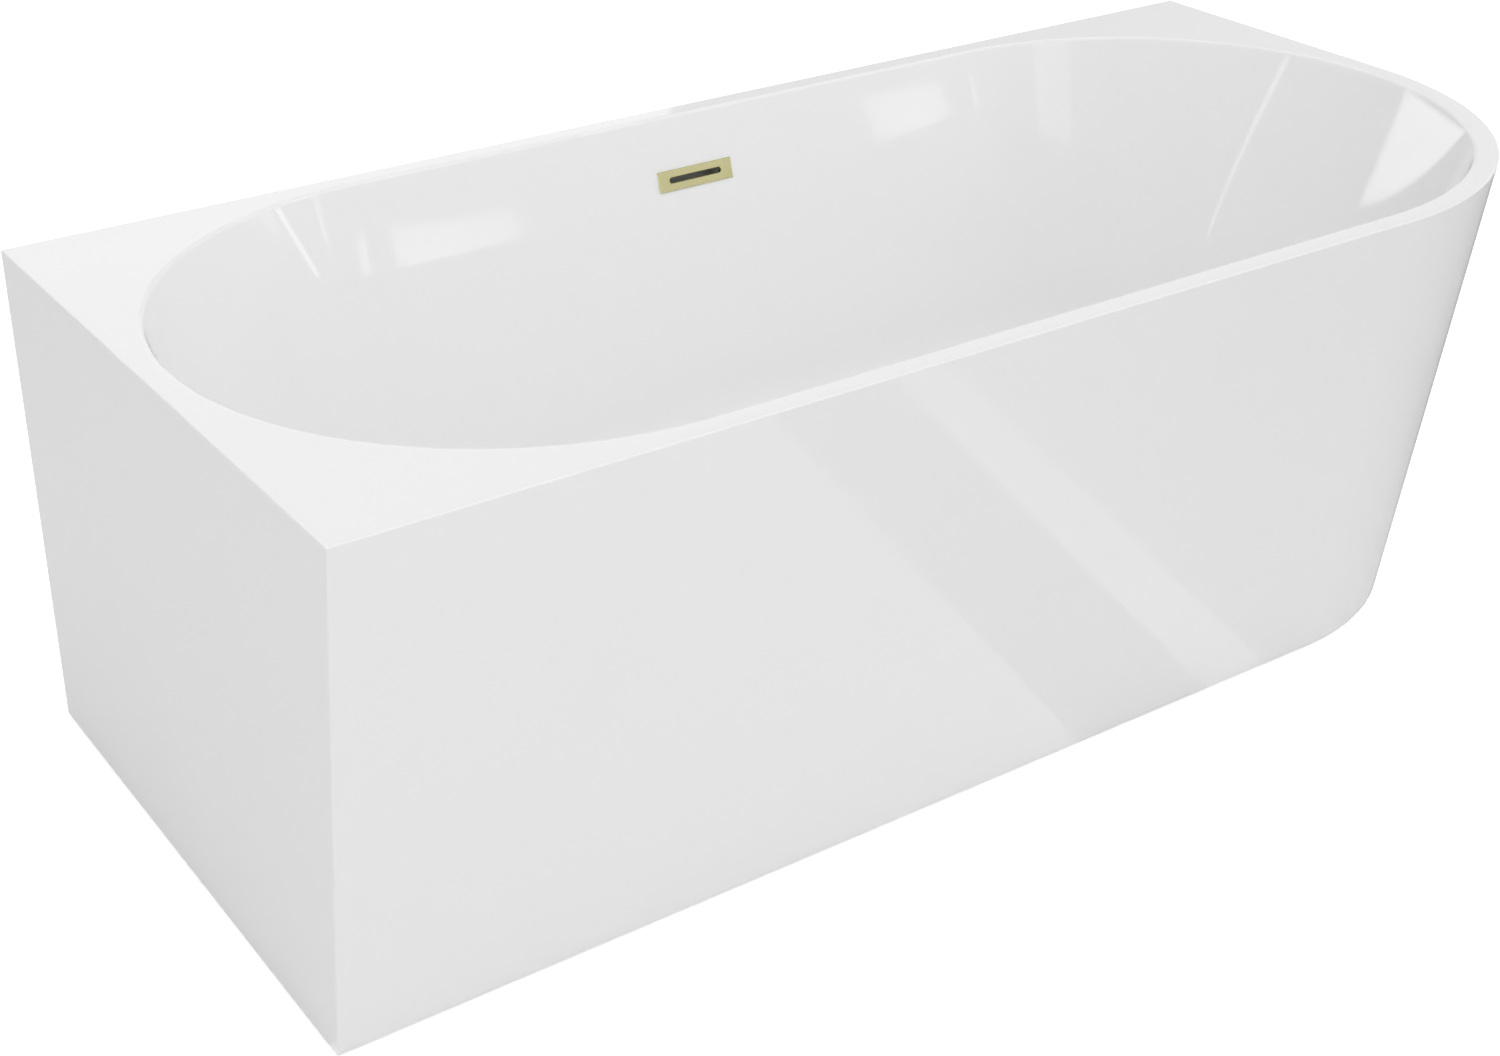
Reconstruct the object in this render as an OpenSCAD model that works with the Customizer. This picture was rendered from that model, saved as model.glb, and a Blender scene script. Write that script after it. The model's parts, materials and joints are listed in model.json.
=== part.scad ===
// Corner bath with one round end: an acrylic basin in an outer shell, on a steel frame with feet.
// +X runs to the round end, +Y to the wall behind the bath, +Z up. The origin is on the floor,
// under the middle of the bath.

/* [Overall] */
// Length of the bath at the rim
bath_l = 1700; // [1560:10:1860]
// Width of the bath at the rim, twice the radius of its round corner
bath_w = 800; // [760:10:860]
// Height of the outer shell, from its lower edge to the rim
shell_h = 580; // [565:5:640]
// Gap between the floor and the outer shell, with the feet wound right in
floor_gap = 3; // [2:0.5:8]

/* [Outer shell] */
// How far the front and the round end draw in between the rim and the lower edge
draw_in = 80; // [50:5:100]
// Wall of the outer shell
shell_t = 5; // [4:0.5:7]
// Width of the service opening at the foot of the back wall
service_w = 360; // [240:10:480]
// Height of the service opening above the shell's lower edge
service_h = 130; // [100:5:180]
// Width of the bonding bead between the outer shell and the rim
bond_w = 7; // [5:0.5:9]
// Height of the bonding bead
bond_h = 10; // [6:1:20]

/* [Basin] */
// Width of the rim between the basin and the front edge
rim_w = 28; // [26:1:40]
// Thickness of the rim and of the basin, acrylic with its glass-fibre backing
basin_t = 6; // [5:0.5:8]
// Depth of the basin from the rim to its floor
basin_depth = 420; // [390:5:430]
// Lean of the basin wall from upright
wall_lean = 16; // [13:0.5:18]
// Radius between the basin wall and its floor
floor_r = 110; // [90:5:130]
// Radius of the edge where the basin meets the rim
lip_r = 5; // [3:0.5:7]

/* [Boards] */
// Thickness of the board laminated under the basin floor
board_t = 18; // [15:1:22]
// How far the board stays inside the flat of the basin floor
board_in = 15; // [8:1:30]
// Leg length of the boards under the rim's square corners
corner_l = 230; // [180:5:250]
// Thickness of the corner boards
corner_t = 12; // [9:1:18]
// Gap between a corner board and the pieces around it
corner_gap = 3; // [2:0.5:5]

/* [Frame] */
// Outer size of the square frame tubes
tube_s = 30; // [28:1:36]
// Wall of the frame tubes
tube_t = 2; // [1.5:0.5:3]
// Distance between the middles of the two rails
rail_span = 220; // [190:5:240]
// How far a rail runs past the outer cross tube
rail_over = 45; // [25:5:80]
// Distance of the outer cross tube from the centre of the basin's square-side end
cross_out = 100; // [80:5:120]
// Distance of the middle cross tube from the waste
cross_off = 170; // [140:5:220]
// Room left for a cap at each end of a cross tube
cross_end = 5; // [4:0.5:10]
// Thickness of the tube caps' heads
cap_t = 2; // [1:0.5:3]
// Depth of the tube caps inside the tubes
cap_plug = 10; // [6:1:12]
// Thickness of the brackets that hold the shell
bracket_t = 3; // [2:0.5:4]
// Width of the brackets
bracket_w = 40; // [30:2:60]
// Length of a bracket's foot on the tube
bracket_foot = 40; // [34:1:50]
// Distance of a bracket's screw from the end of its foot
screw_in = 12; // [8:1:14]
// Height of a bracket's leg against the shell
bracket_leg = 55; // [35:5:90]
// Radius of the frame's screws
screw_r = 2.4; // [2:0.1:3]
// Radius of the screw heads
head_r = 5; // [4:0.5:6]
// Height of the screw heads
head_h = 3; // [2:0.5:4]
// Room around a screw in its hole
screw_gap = 0.1; // [0.05:0.05:0.3]
// Length of a bracket screw below the bracket
bracket_grip = 12; // [8:1:20]
// How far a board screw goes into the board
board_grip = 12; // [8:1:13]
// Distance of the board screws from the middle of the bath
board_screw_y = 62; // [50:1:75]

/* [Feet] */
// Radius of a foot's threaded stem
stem_r = 6; // [5:0.5:7]
// Running room between the stem and what it turns in
run_gap = 0.05; // [0.02:0.01:0.08]
// How far a foot winds out
foot_travel = 20; // [10:1:30]
// Room around the stem where it passes through a tube
stem_room = 1; // [0.5:0.25:2]
// Height of the nuts welded under the tubes
nut_h = 10; // [8:1:14]
// Radius of the welded nuts over their corners
nut_r = 11; // [10:0.5:13]
// Height of the stem's hexagon collar
collar_h = 8; // [6:1:12]
// Distance between a foot and the bracket's foot
foot_off = 15; // [13:1:20]
// Radius of a foot's pad
pad_r = 25; // [20:1:28]
// Height of a pad's rim
pad_h = 4; // [3:0.5:6]
// Thickness of the pad under the stem
pad_floor = 6; // [5:0.5:8]
// Height of the whole pad
pad_top = 20; // [16:1:26]
// Radius of the pad's socket
socket_r = 12; // [10:0.5:15]

/* [Waste] */
// Radius of the hole through the basin floor
waste_hole_r = 25; // [23.5:0.5:28]
// Radius of the waste's flange
flange_r = 35; // [33:0.5:38]
// Thickness of the flange
flange_t = 2.5; // [2:0.5:4]
// Outer radius of the flange's threaded tail
tail_r = 22; // [20:0.5:23]
// Wall of the tail
tail_t = 2; // [1.5:0.5:3]
// Length of the tail below the basin floor
tail_l = 22; // [14:1:24]
// Thickness of the seal over the basin floor
top_seal_t = 1; // [0.5:0.25:2]
// Thickness of the seal under the basin floor
low_seal_t = 2; // [1:0.5:4]
// Radius of the hub in the middle of the strainer
hub_r = 10; // [9:0.5:12]
// Thickness of the strainer
strainer_t = 5; // [4:0.5:8]
// Depth of the strainer below the top of the flange
strainer_drop = 9; // [8:0.5:12]
// Width of a strainer arm
arm_w = 4; // [3:0.5:6]
// Number of strainer arms
arm_n = 4; // [3:1:6]

/* [Plug] */
// Radius of the plug's cap
plug_r = 31; // [28:0.5:32.5]
// Thickness of the cap at its edge
plug_t = 3; // [2:0.5:5]
// Rise of the cap's domed top
dome_h = 2; // [1:0.5:4]
// Thickness of the plug's seal
plug_seal_t = 2; // [1:0.5:3]
// Gap between the seal and the flange when the plug is down
seat_gap = 0.05; // [0.02:0.01:0.1]
// Radius of the plug's stem
plug_stem_r = 4; // [3.5:0.25:5]
// Length of the stem inside the cartridge
plug_stem_l = 22; // [18:1:26]
// Wall of the cartridge
cartridge_t = 3; // [2:0.5:4]
// Length of the closed spring under the stem
spring_l = 11; // [9:0.5:14]
// Radius of the spring's wire
wire_r = 0.5; // [0.4:0.1:0.7]
// Turns of the spring
spring_turns = 6; // [4:1:8]

/* [Overflow] */
// Width of the overflow's face plate
plate_w = 108; // [104:1:130]
// Height of the face plate
plate_h = 26; // [24:1:40]
// Thickness of the face plate
plate_t = 2; // [1.5:0.25:3]
// Bevel around the face plate
plate_bevel = 0.8; // [0.4:0.1:1.2]
// Height of the rim above the middle of the face plate
plate_drop = 76; // [60:1:110]
// Width of the slot in the face plate
slot_w = 76; // [60:1:80]
// Height of the slot
slot_h = 6.5; // [6:0.5:10]
// Wall of the collar behind the slot
slot_t = 1.5; // [1:0.25:2]
// Depth of the collar behind the plate
slot_depth = 4; // [3:0.5:5]
// Room between the collar and the hole in the basin wall
slot_room = 1.5; // [1:0.25:2.5]
// Radius of the plate's studs
stud_r = 2; // [1.5:0.25:2.5]
// Distance of a stud from the middle of the plate
stud_x = 48; // [47:0.5:49.5]
// Radius of the stud nuts over their corners
stud_nut_r = 4; // [3.5:0.25:4.5]
// Height of the stud nuts
stud_nut_h = 3.2; // [2.5:0.1:4]
// Thickness of the overflow's seal
over_seal_t = 2; // [1:0.5:3]
// Thickness of the overflow body's flange
over_flange_t = 4; // [3:0.5:5]
// How far the body's flange and seal reach around the middle, along the bath
over_half_w = 53; // [52.5:0.5:56]
// Height of the overflow body's chamber
over_h = 26; // [22:1:30]
// How far the flange reaches past the chamber, above and below
over_lip = 3; // [2:0.5:5]
// Wall of the overflow body
over_wall = 2; // [1.5:0.25:2.5]
// Depth of the overflow body behind its seal
over_deep = 24; // [23:0.5:28]

/* [Pipes] */
// Outer radius of the overflow hose
hose_r = 12.5; // [11.5:0.5:13]
// Wall of the hose
hose_t = 2.5; // [2:0.25:3]
// Radius of the hose's bend
hose_bend = 60; // [45:1:90]
// Bare length of a spigot before the hose
hose_end = 2.5; // [2:0.5:6]
// Length of the spigots inside the hose
spigot_l = 24; // [18:1:34]
// Wall of the spigots and of the waste body
pipe_t = 2.5; // [2:0.25:3]
// Room between a spigot and the hose
push_gap = 0.1; // [0.05:0.05:0.2]
// Thickness of the hose clips
clip_t = 1; // [0.8:0.1:1.2]
// Width of the hose clips
clip_w = 9; // [6:1:12]
// Outer radius of the waste body
body_r = 30; // [28:0.5:33]
// Thickness of the waste body's flange
body_flange_t = 4; // [3:0.5:6]
// Outer radius of the neck between the waste body and the trap
neck_r = 18; // [16:0.5:19]
// Gap between the floor and the trap
trap_gap = 14; // [8:1:20]
// Outer radius of the trap
trap_r = 46; // [42:1:52]
// Wall of the trap
trap_t = 3; // [2.5:0.25:4]
// Distance between the waste body and the trap
trap_space = 22; // [18:1:24]
// Height of the trap's threaded collars
thread_h = 10; // [8:1:12]
// Thickness of the trap's seals
ring_t = 3; // [2:0.5:4]
// Width of the trap's seals
ring_w = 4; // [3:0.5:5]
// Wall of the union nuts
union_t = 4; // [3:0.5:5]
// Outer radius of the outlet pipe
outlet_r = 20; // [19:0.5:20]
// Wall of the outlet pipe
outlet_t = 2; // [1.5:0.25:3]
// Wall of the trap's threaded collars around their seals
collar_wall = 1; // [1:0.25:2]
// Distance between the top of the trap and its side collar
outlet_drop = 3; // [3:0.5:5]
// Length of the outlet pipe that a waste pipe's socket slides over
outlet_l = 55; // [40:1:90]
// Width of the bead that stops the socket
bead_w = 4; // [3:0.5:6]
// Height of the bead
bead_h = 2; // [1:0.5:3]

/* [Hidden] */
$fn = 96;

// How far a cutting solid runs past the face it cuts
cut = 1;
// Chords in the basin's large radius and in its small lip
arc_n = 12;
lip_n = 5;

// Levels, from the rim down
top_z = floor_gap + shell_h;
deck_z = top_z - basin_t;
floor_z = top_z - basin_depth;
under_z = floor_z - basin_t;
cross_top = under_z - board_t;
cross_low = cross_top - tube_s;
rail_low = cross_low - tube_s;

// Plan: both ends of the basin are half circles about x = -end_x and x = end_x
corner_r = bath_w / 2;
end_x = bath_l / 2 - corner_r;
open_r = corner_r - rim_w;
ring_r = open_r + lip_r + basin_t;
back_in = bath_w / 2 - shell_t;
function draw(z) = draw_in * (top_z - z) / shell_h;
function front_in(z) = shell_t + draw(z) - bath_w / 2;

// Section of the basin: distance from the middle line against height
round_share = (1 - sin(wall_lean)) / cos(wall_lean);
flat_r = open_r - basin_depth * tan(wall_lean) - floor_r * round_share;
dry_r = open_r + basin_t * round_share;
function arc(middle, r, from, to, n) = [
    for (i = [0:n])
        let (a = from + (to - from) * i / n)
            middle + r * [cos(a), sin(a)]
];
function flip(points) = [for (i = [len(points) - 1:-1:0]) [-points[i][0], points[i][1]]];
wet_side = concat(
    arc([flat_r, floor_z + floor_r], floor_r, -90, -wall_lean, arc_n),
    arc([open_r + lip_r * round_share, top_z - lip_r], lip_r, 180 - wall_lean, 90, lip_n)
);
dry_side = concat(
    [[ring_r, top_z], [ring_r, deck_z], [dry_r, deck_z]],
    arc([flat_r, floor_z + floor_r], floor_r + basin_t, -wall_lean, -90, arc_n)
);

// Frame: the cross tubes carry the board, and the rails run under them
tube_in = tube_s - 2 * tube_t;
rail_y = rail_span / 2;
cross_left_x = -end_x - cross_out;
cross_mid_x = -cross_off;
cross_right_x = end_x - bracket_w / 2;
cross_xs = [cross_left_x, cross_mid_x, cross_right_x];
cross_front = front_in(cross_low) + cross_end;
cross_back = back_in - cross_end;
foot_front_y = front_in(cross_top) + bracket_foot + foot_off;
foot_back_y = back_in - bracket_foot - foot_off;
end_tube_x = end_x + corner_r - draw_in - shell_t - bracket_foot - foot_off;
rail_x0 = cross_left_x - tube_s / 2 - rail_over;
rail_x1 = end_tube_x + tube_s / 2 + cap_t;
feet = [
    [cross_left_x, foot_front_y], [cross_left_x, foot_back_y],
    [cross_right_x, foot_front_y], [cross_right_x, foot_back_y],
    [end_tube_x, 0]
];
stem_top = cross_top + foot_travel;
bracket_front_y = front_in(cross_top) + bracket_foot - screw_in;
bracket_back_y = back_in - bracket_foot + screw_in;

// Waste: stacked on the middle of the basin floor
seat_z = floor_z + top_seal_t;
flange_z = seat_z + flange_t;
strainer_z = flange_z - strainer_drop;
body_top = under_z - low_seal_t;
inlet_z = cross_low + tube_s / 2;
body_low = inlet_z - hose_r - pipe_t;
plug_z = flange_z + seat_gap + plug_seal_t;
cartridge_r = plug_stem_r + run_gap + cartridge_t;
spring_z = strainer_z - plug_stem_l;
cartridge_low = spring_z - spring_l - cartridge_t;

// Overflow: in the middle of the back wall
over_z = top_z - plate_drop;
over_y = open_r - plate_drop * tan(wall_lean);
collar_w = slot_w + 2 * slot_t;
collar_hh = slot_h + 2 * slot_t;
wall_slot_w = collar_w + 2 * slot_room;
wall_slot_h = collar_hh + 2 * slot_room;
over_face = -basin_t - over_seal_t;
spigot_r = hose_r - hose_t - push_gap;
hose_in = over_face - over_deep / 2;
hose_start = over_h / 2 + over_lip + hose_end;

// Hose: straight down behind the wall, one bend, then level to the waste body
lean_y = sin(wall_lean);
lean_z = cos(wall_lean);
hose_y0 = over_y - hose_in * lean_z - hose_start * lean_y;
hose_z0 = over_z + hose_in * lean_y - hose_start * lean_z;
knee_y = hose_y0 - (hose_z0 - inlet_z) * tan(wall_lean);
knee_back = hose_bend * round_share;
hose_y1 = body_r + hose_end;

// Trap: under the waste body, its outlet towards the square end
trap_top = body_low - trap_space;
collar_r = neck_r + ring_w + collar_wall;
outlet_collar_r = outlet_r + ring_w + collar_wall;
outlet_z = trap_top - outlet_collar_r - outlet_drop;
outlet_x = -trap_r - thread_h;

// The bath's outer form between two levels, drawn in by inset all round
module body_block(z0, z1, inset) {
    r0 = corner_r - draw(z0) - inset;
    r1 = corner_r - draw(z1) - inset;
    back = bath_w / 2 - inset;
    translate([end_x, 0, 0])
        rotate([90, 0, -90])
            linear_extrude(end_x + bath_l / 2 - inset)
                polygon([[-back, z0], [r0, z0], [r1, z1], [-back, z1]]);
    translate([end_x, back, 0])
        rotate([90, 0, 0])
            linear_extrude(back)
                polygon([[0, z0], [r0, z0], [r1, z1], [0, z1]]);
    translate([end_x, 0, 0])
        rotate([0, 0, -90])
            rotate_extrude(angle = 90)
                polygon([[0, z0], [r0, z0], [r1, z1], [0, z1]]);
}

// A ring of the outer form, wall thick, starting inset from the outside
module body_ring(z0, z1, inset, wall) {
    difference() {
        body_block(z0, z1, inset);
        body_block(z0 - cut, z1 + cut, inset + wall);
    }
}

// A plate with half-round ends: span between the end centres, r half the width
module stadium(span, r, h) {
    translate([-span / 2, -r, 0])
        cube([span, 2 * r, h]);
    for (side = [-1, 1])
        translate([side * span / 2, 0, 0])
            rotate([0, 0, -90 * side])
                rotate_extrude(angle = 180)
                    square([r, h]);
}

// A plate with half-round ends, given by its whole width and height
module slot(w, h, depth) {
    stadium(w - h, h / 2, depth);
}

// A hollow turned piece about Z
module tube(r_out, r_in, h) {
    difference() {
        cylinder(r = r_out, h = h);
        translate([0, 0, -cut])
            cylinder(r = r_in, h = h + 2 * cut);
    }
}

// The basin's wall and floor, without the rim around it
module bowl() {
    translate([-end_x, 0, 0])
        rotate([90, 0, 90])
            linear_extrude(2 * end_x)
                polygon(concat(flip(wet_side), wet_side, dry_side, flip(dry_side)));
    for (side = [-1, 1])
        translate([side * end_x, 0, 0])
            rotate([0, 0, -90 * side])
                rotate_extrude(angle = 180)
                    polygon(concat([[0, floor_z]], wet_side, dry_side, [[0, under_z]]));
}

// Places children on the wet face of the back wall: local Y up the wall, local Z into the basin
module on_back_wall() {
    translate([0, over_y, over_z])
        rotate([90 - wall_lean, 0, 0])
            children();
}

module basin() {
    color("white")
        difference() {
            union() {
                difference() {
                    body_block(deck_z, top_z, 0);
                    translate([0, 0, deck_z - cut])
                        stadium(2 * end_x, ring_r, basin_t + 2 * cut);
                }
                bowl();
            }
            translate([0, 0, under_z - cut])
                cylinder(r = waste_hole_r, h = basin_t + 2 * cut);
            on_back_wall() {
                translate([0, 0, -basin_t - cut])
                    slot(wall_slot_w, wall_slot_h, basin_t + 2 * cut);
                for (side = [-1, 1])
                    translate([side * stud_x, 0, -basin_t - cut])
                        cylinder(r = stud_r + screw_gap, h = basin_t + 2 * cut);
            }
        }
}

module outer_shell() {
    color("white")
        difference() {
            body_ring(floor_gap, deck_z, 0, shell_t);
            translate([-service_w / 2, back_in - cut, floor_gap - cut])
                cube([service_w, shell_t + 2 * cut, service_h + cut]);
        }
}

module rim_bond() {
    color("beige")
        body_ring(deck_z - bond_h, deck_z, shell_t, bond_w);
}

// A board under one square corner of the rim: side_x and side_y are -1 or 1
module corner_board(side_x, side_y) {
    low = deck_z - corner_t;
    color("burlywood")
        difference() {
            intersection() {
                body_block(low, deck_z, shell_t + bond_w + corner_gap);
                translate([side_x * (bath_l - corner_l) / 2, side_y * (bath_w - corner_l) / 2, low - cut])
                    linear_extrude(corner_t + 2 * cut)
                        square(corner_l, center = true);
            }
            translate([side_x * end_x, 0, low - cut])
                cylinder(r = dry_r + corner_gap, h = corner_t + 2 * cut);
        }
}

module corner_board_front_left() {
    corner_board(-1, -1);
}

module corner_board_back_left() {
    corner_board(-1, 1);
}

module corner_board_back_right() {
    corner_board(1, 1);
}

module base_board() {
    color("burlywood")
        difference() {
            translate([0, 0, cross_top])
                stadium(2 * end_x, flat_r - board_in, board_t);
            translate([0, 0, cross_top - cut])
                cylinder(r = flange_r + board_in / 2, h = board_t + 2 * cut);
            for (x = cross_xs, side = [-1, 1])
                translate([x, side * board_screw_y, cross_top - cut])
                    cylinder(r = screw_r + screw_gap, h = board_grip + cut + screw_gap);
        }
}

// A square tube along X from x0 to x1, its lower corner at y and z
module tube_x(x0, x1, y, z) {
    translate([x0, y, z])
        difference() {
            cube([x1 - x0, tube_s, tube_s]);
            translate([-cut, tube_t, tube_t])
                cube([x1 - x0 + 2 * cut, tube_in, tube_in]);
        }
}

// A square tube along Y, with holes for the stems, the board screws and the bracket screws
module tube_y(x, y0, y1, stem_ys, board_ys, bracket_ys) {
    difference() {
        translate([x + tube_s / 2, y0, cross_low])
            rotate([0, 0, 90])
                tube_x(0, y1 - y0, 0, 0);
        for (y = stem_ys)
            translate([x, y, cross_low - cut])
                cylinder(r = stem_r + stem_room, h = tube_s + 2 * cut);
        for (y = board_ys)
            translate([x, y, cross_low - cut])
                cylinder(r = screw_r + screw_gap, h = tube_s + 2 * cut);
        for (y = bracket_ys)
            translate([x, y, cross_top - tube_t - cut])
                cylinder(r = screw_r + screw_gap, h = tube_t + 2 * cut);
    }
}

module cross_tube(x) {
    color("silver")
        tube_y(x, cross_front, cross_back, x == cross_mid_x ? [] : [foot_front_y, foot_back_y],
            [-board_screw_y, board_screw_y], [bracket_front_y, bracket_back_y]);
}

module cross_tube_left() {
    cross_tube(cross_left_x);
}

module cross_tube_middle() {
    cross_tube(cross_mid_x);
}

module cross_tube_right() {
    cross_tube(cross_right_x);
}

module end_tube() {
    color("silver")
        tube_y(end_tube_x, -rail_y - tube_s / 2, rail_y + tube_s / 2, [0], [], []);
}

module rail_front() {
    color("silver")
        tube_x(rail_x0, rail_x1, -rail_y - tube_s / 2, rail_low);
}

module rail_back() {
    color("silver")
        tube_x(rail_x0, rail_x1, rail_y - tube_s / 2, rail_low);
}

// A plastic cap pointing along +X out of a tube whose end is at the origin
module cap() {
    translate([0, -tube_s / 2, 0])
        cube([cap_t, tube_s, tube_s]);
    translate([-cap_plug, -tube_in / 2 + push_gap, tube_t + push_gap])
        cube([cap_plug, tube_in - 2 * push_gap, tube_in - 2 * push_gap]);
}

module tube_caps() {
    color("dimgray") {
        for (y = [-rail_y, rail_y]) {
            translate([rail_x1, y, rail_low])
                cap();
            translate([rail_x0, y, rail_low])
                rotate([0, 0, 180])
                    cap();
        }
        for (x = cross_xs) {
            translate([x, cross_back, cross_low])
                rotate([0, 0, 90])
                    cap();
            translate([x, cross_front, cross_low])
                rotate([0, 0, -90])
                    cap();
        }
        for (side = [-1, 1])
            translate([end_tube_x, side * (rail_y + tube_s / 2), cross_low])
                rotate([0, 0, 90 * side])
                    cap();
    }
}

// A bracket standing on a cross tube: its leg follows the wall from y0 at the tube to y1 at the top
module shell_bracket(x, y0, y1, inward) {
    low = cross_top;
    knee = (y1 - y0) * bracket_t / bracket_leg;
    translate([x - bracket_w / 2, 0, 0])
        difference() {
            rotate([90, 0, 90])
                linear_extrude(bracket_w)
                    polygon([
                        [y0, low],
                        [y0 + inward * bracket_foot, low],
                        [y0 + inward * bracket_foot, low + bracket_t],
                        [y0 + knee + inward * bracket_t, low + bracket_t],
                        [y1 + inward * bracket_t, low + bracket_leg],
                        [y1, low + bracket_leg]
                    ]);
            translate([bracket_w / 2, y0 + inward * (bracket_foot - screw_in), low - cut])
                cylinder(r = screw_r + screw_gap, h = bracket_t + 2 * cut);
        }
}

module shell_brackets() {
    color("silver")
        for (x = cross_xs) {
            shell_bracket(x, front_in(cross_top), front_in(cross_top + bracket_leg), 1);
            shell_bracket(x, back_in, back_in, -1);
        }
}

// A round-headed screw pointing down, its head standing on the origin
module screw(length) {
    cylinder(r = head_r, h = head_h);
    translate([0, 0, -length])
        cylinder(r = screw_r, h = length);
}

module bracket_screws() {
    color("gainsboro")
        for (x = cross_xs, y = [bracket_front_y, bracket_back_y])
            translate([x, y, cross_top + bracket_t])
                screw(bracket_t + bracket_grip);
}

module board_screws() {
    color("gainsboro")
        for (x = cross_xs, side = [-1, 1])
            translate([x, side * board_screw_y, cross_low])
                mirror([0, 0, 1])
                    screw(tube_s + board_grip);
}

module weld_nuts() {
    color("silver")
        for (at = feet)
            translate([at[0], at[1], cross_low - nut_h])
                difference() {
                    cylinder(r = nut_r, h = nut_h, $fn = 6);
                    translate([0, 0, -cut])
                        cylinder(r = stem_r + run_gap, h = nut_h + 2 * cut);
                }
}

// The threaded stem of foot number index, with the hexagon that it is turned by
module foot_stem(index) {
    at = feet[index];
    color("gainsboro")
        translate([at[0], at[1], 0]) {
            translate([0, 0, pad_floor])
                cylinder(r = stem_r, h = stem_top - pad_floor);
            translate([0, 0, cross_low - nut_h - collar_h])
                cylinder(r = nut_r, h = collar_h, $fn = 6);
        }
}

// The plastic pad of foot number index, with a blind socket for the stem
module foot_pad(index) {
    at = feet[index];
    color("dimgray")
        translate([at[0], at[1], 0])
            rotate_extrude()
                polygon([
                    [0, 0], [pad_r, 0], [pad_r, pad_h], [socket_r, pad_floor + pad_h], [socket_r, pad_top],
                    [stem_r + run_gap, pad_top], [stem_r + run_gap, pad_floor], [0, pad_floor]
                ]);
}

module waste_flange() {
    color("darkkhaki")
        difference() {
            union() {
                translate([0, 0, seat_z])
                    tube(flange_r, tail_r - tail_t, flange_t);
                translate([0, 0, under_z - tail_l])
                    tube(tail_r, tail_r - tail_t, seat_z - under_z + tail_l);
                translate([0, 0, strainer_z]) {
                    cylinder(r = hub_r, h = strainer_t);
                    for (i = [0:arm_n - 1])
                        rotate([0, 0, 360 * i / arm_n])
                            translate([0, -arm_w / 2, 0])
                                cube([tail_r - tail_t / 2, arm_w, strainer_t]);
                }
            }
            translate([0, 0, strainer_z - cut])
                cylinder(r = cartridge_r + screw_gap, h = strainer_t + 2 * cut);
        }
}

module waste_seal_top() {
    color("dimgray")
        translate([0, 0, floor_z])
            tube(flange_r - top_seal_t, tail_r + push_gap, top_seal_t);
}

module waste_seal_bottom() {
    color("dimgray")
        translate([0, 0, body_top])
            tube(flange_r, waste_hole_r, low_seal_t);
}

module plug_cap() {
    color("darkkhaki")
        translate([0, 0, plug_z])
            rotate_extrude()
                polygon(concat([[0, 0], [plug_r, 0], [plug_r, plug_t]], [
                    for (i = [1:lip_n])
                        let (x = plug_r * (1 - i / lip_n))
                            [x, plug_t + dome_h * (1 - pow(x / plug_r, 2))]
                ]));
}

module plug_seal() {
    color("dimgray")
        translate([0, 0, plug_z - plug_seal_t])
            tube(flange_r - (flange_r - tail_r) / 2, tail_r - tail_t, plug_seal_t);
}

module plug_stem() {
    color("gainsboro")
        translate([0, 0, spring_z])
            cylinder(r = plug_stem_r, h = plug_z - spring_z);
}

// The cartridge: a tube through the strainer's hub, closed below, with a head on the hub
module plug_cartridge() {
    color("gainsboro")
        difference() {
            union() {
                translate([0, 0, cartridge_low])
                    cylinder(r = cartridge_r, h = strainer_z + strainer_t - cartridge_low);
                translate([0, 0, strainer_z + strainer_t])
                    cylinder(r = hub_r, h = cartridge_t / 2);
            }
            translate([0, 0, cartridge_low + cartridge_t])
                cylinder(r = plug_stem_r + run_gap, h = strainer_z + strainer_t - cartridge_low);
        }
}

// Point of the spring's coil: turn of the wire's middle line and side around the wire
function coil_point(turn, side, sides) =
    let (
        middle = plug_stem_r - 2 * wire_r,
        rise = spring_l - 2 * wire_r,
        a = 360 * spring_turns * turn,
        b = 360 * side / sides,
        r = middle + wire_r * cos(b)
    ) [r * cos(a), r * sin(a), wire_r + rise * turn + wire_r * sin(b)];

module plug_spring() {
    sides = 8;
    rings = spring_turns * 16;
    color("silver")
        translate([0, 0, cartridge_low + cartridge_t])
            polyhedron(
                points = [for (i = [0:rings], j = [0:sides - 1]) coil_point(i / rings, j, sides)],
                faces = concat(
                    [[for (j = [sides - 1:-1:0]) j]],
                    [for (i = [0:rings - 1], j = [0:sides - 1]) [
                        i * sides + (j + 1) % sides, (i + 1) * sides + (j + 1) % sides,
                        (i + 1) * sides + j, i * sides + j
                    ]],
                    [[for (j = [0:sides - 1]) rings * sides + j]]
                )
            );
}

module waste_body() {
    chamber_z = body_top - body_flange_t;
    color("whitesmoke")
        difference() {
            union() {
                translate([0, 0, chamber_z])
                    cylinder(r = flange_r, h = body_flange_t);
                translate([0, 0, body_low])
                    cylinder(r = body_r, h = chamber_z - body_low);
                translate([0, 0, trap_gap + 2 * trap_t])
                    cylinder(r = neck_r, h = body_low - trap_gap - 2 * trap_t);
                translate([0, 0, inlet_z])
                    rotate([-90, 0, 0])
                        cylinder(r = spigot_r, h = hose_y1 + spigot_l);
            }
            translate([0, 0, body_low + pipe_t])
                cylinder(r = body_r - pipe_t, h = body_top - body_low);
            translate([0, 0, trap_gap])
                cylinder(r = neck_r - pipe_t, h = body_low - trap_gap + 2 * pipe_t);
            translate([0, 0, inlet_z])
                rotate([-90, 0, 0])
                    cylinder(r = spigot_r - pipe_t, h = hose_y1 + spigot_l + cut);
        }
}

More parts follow.
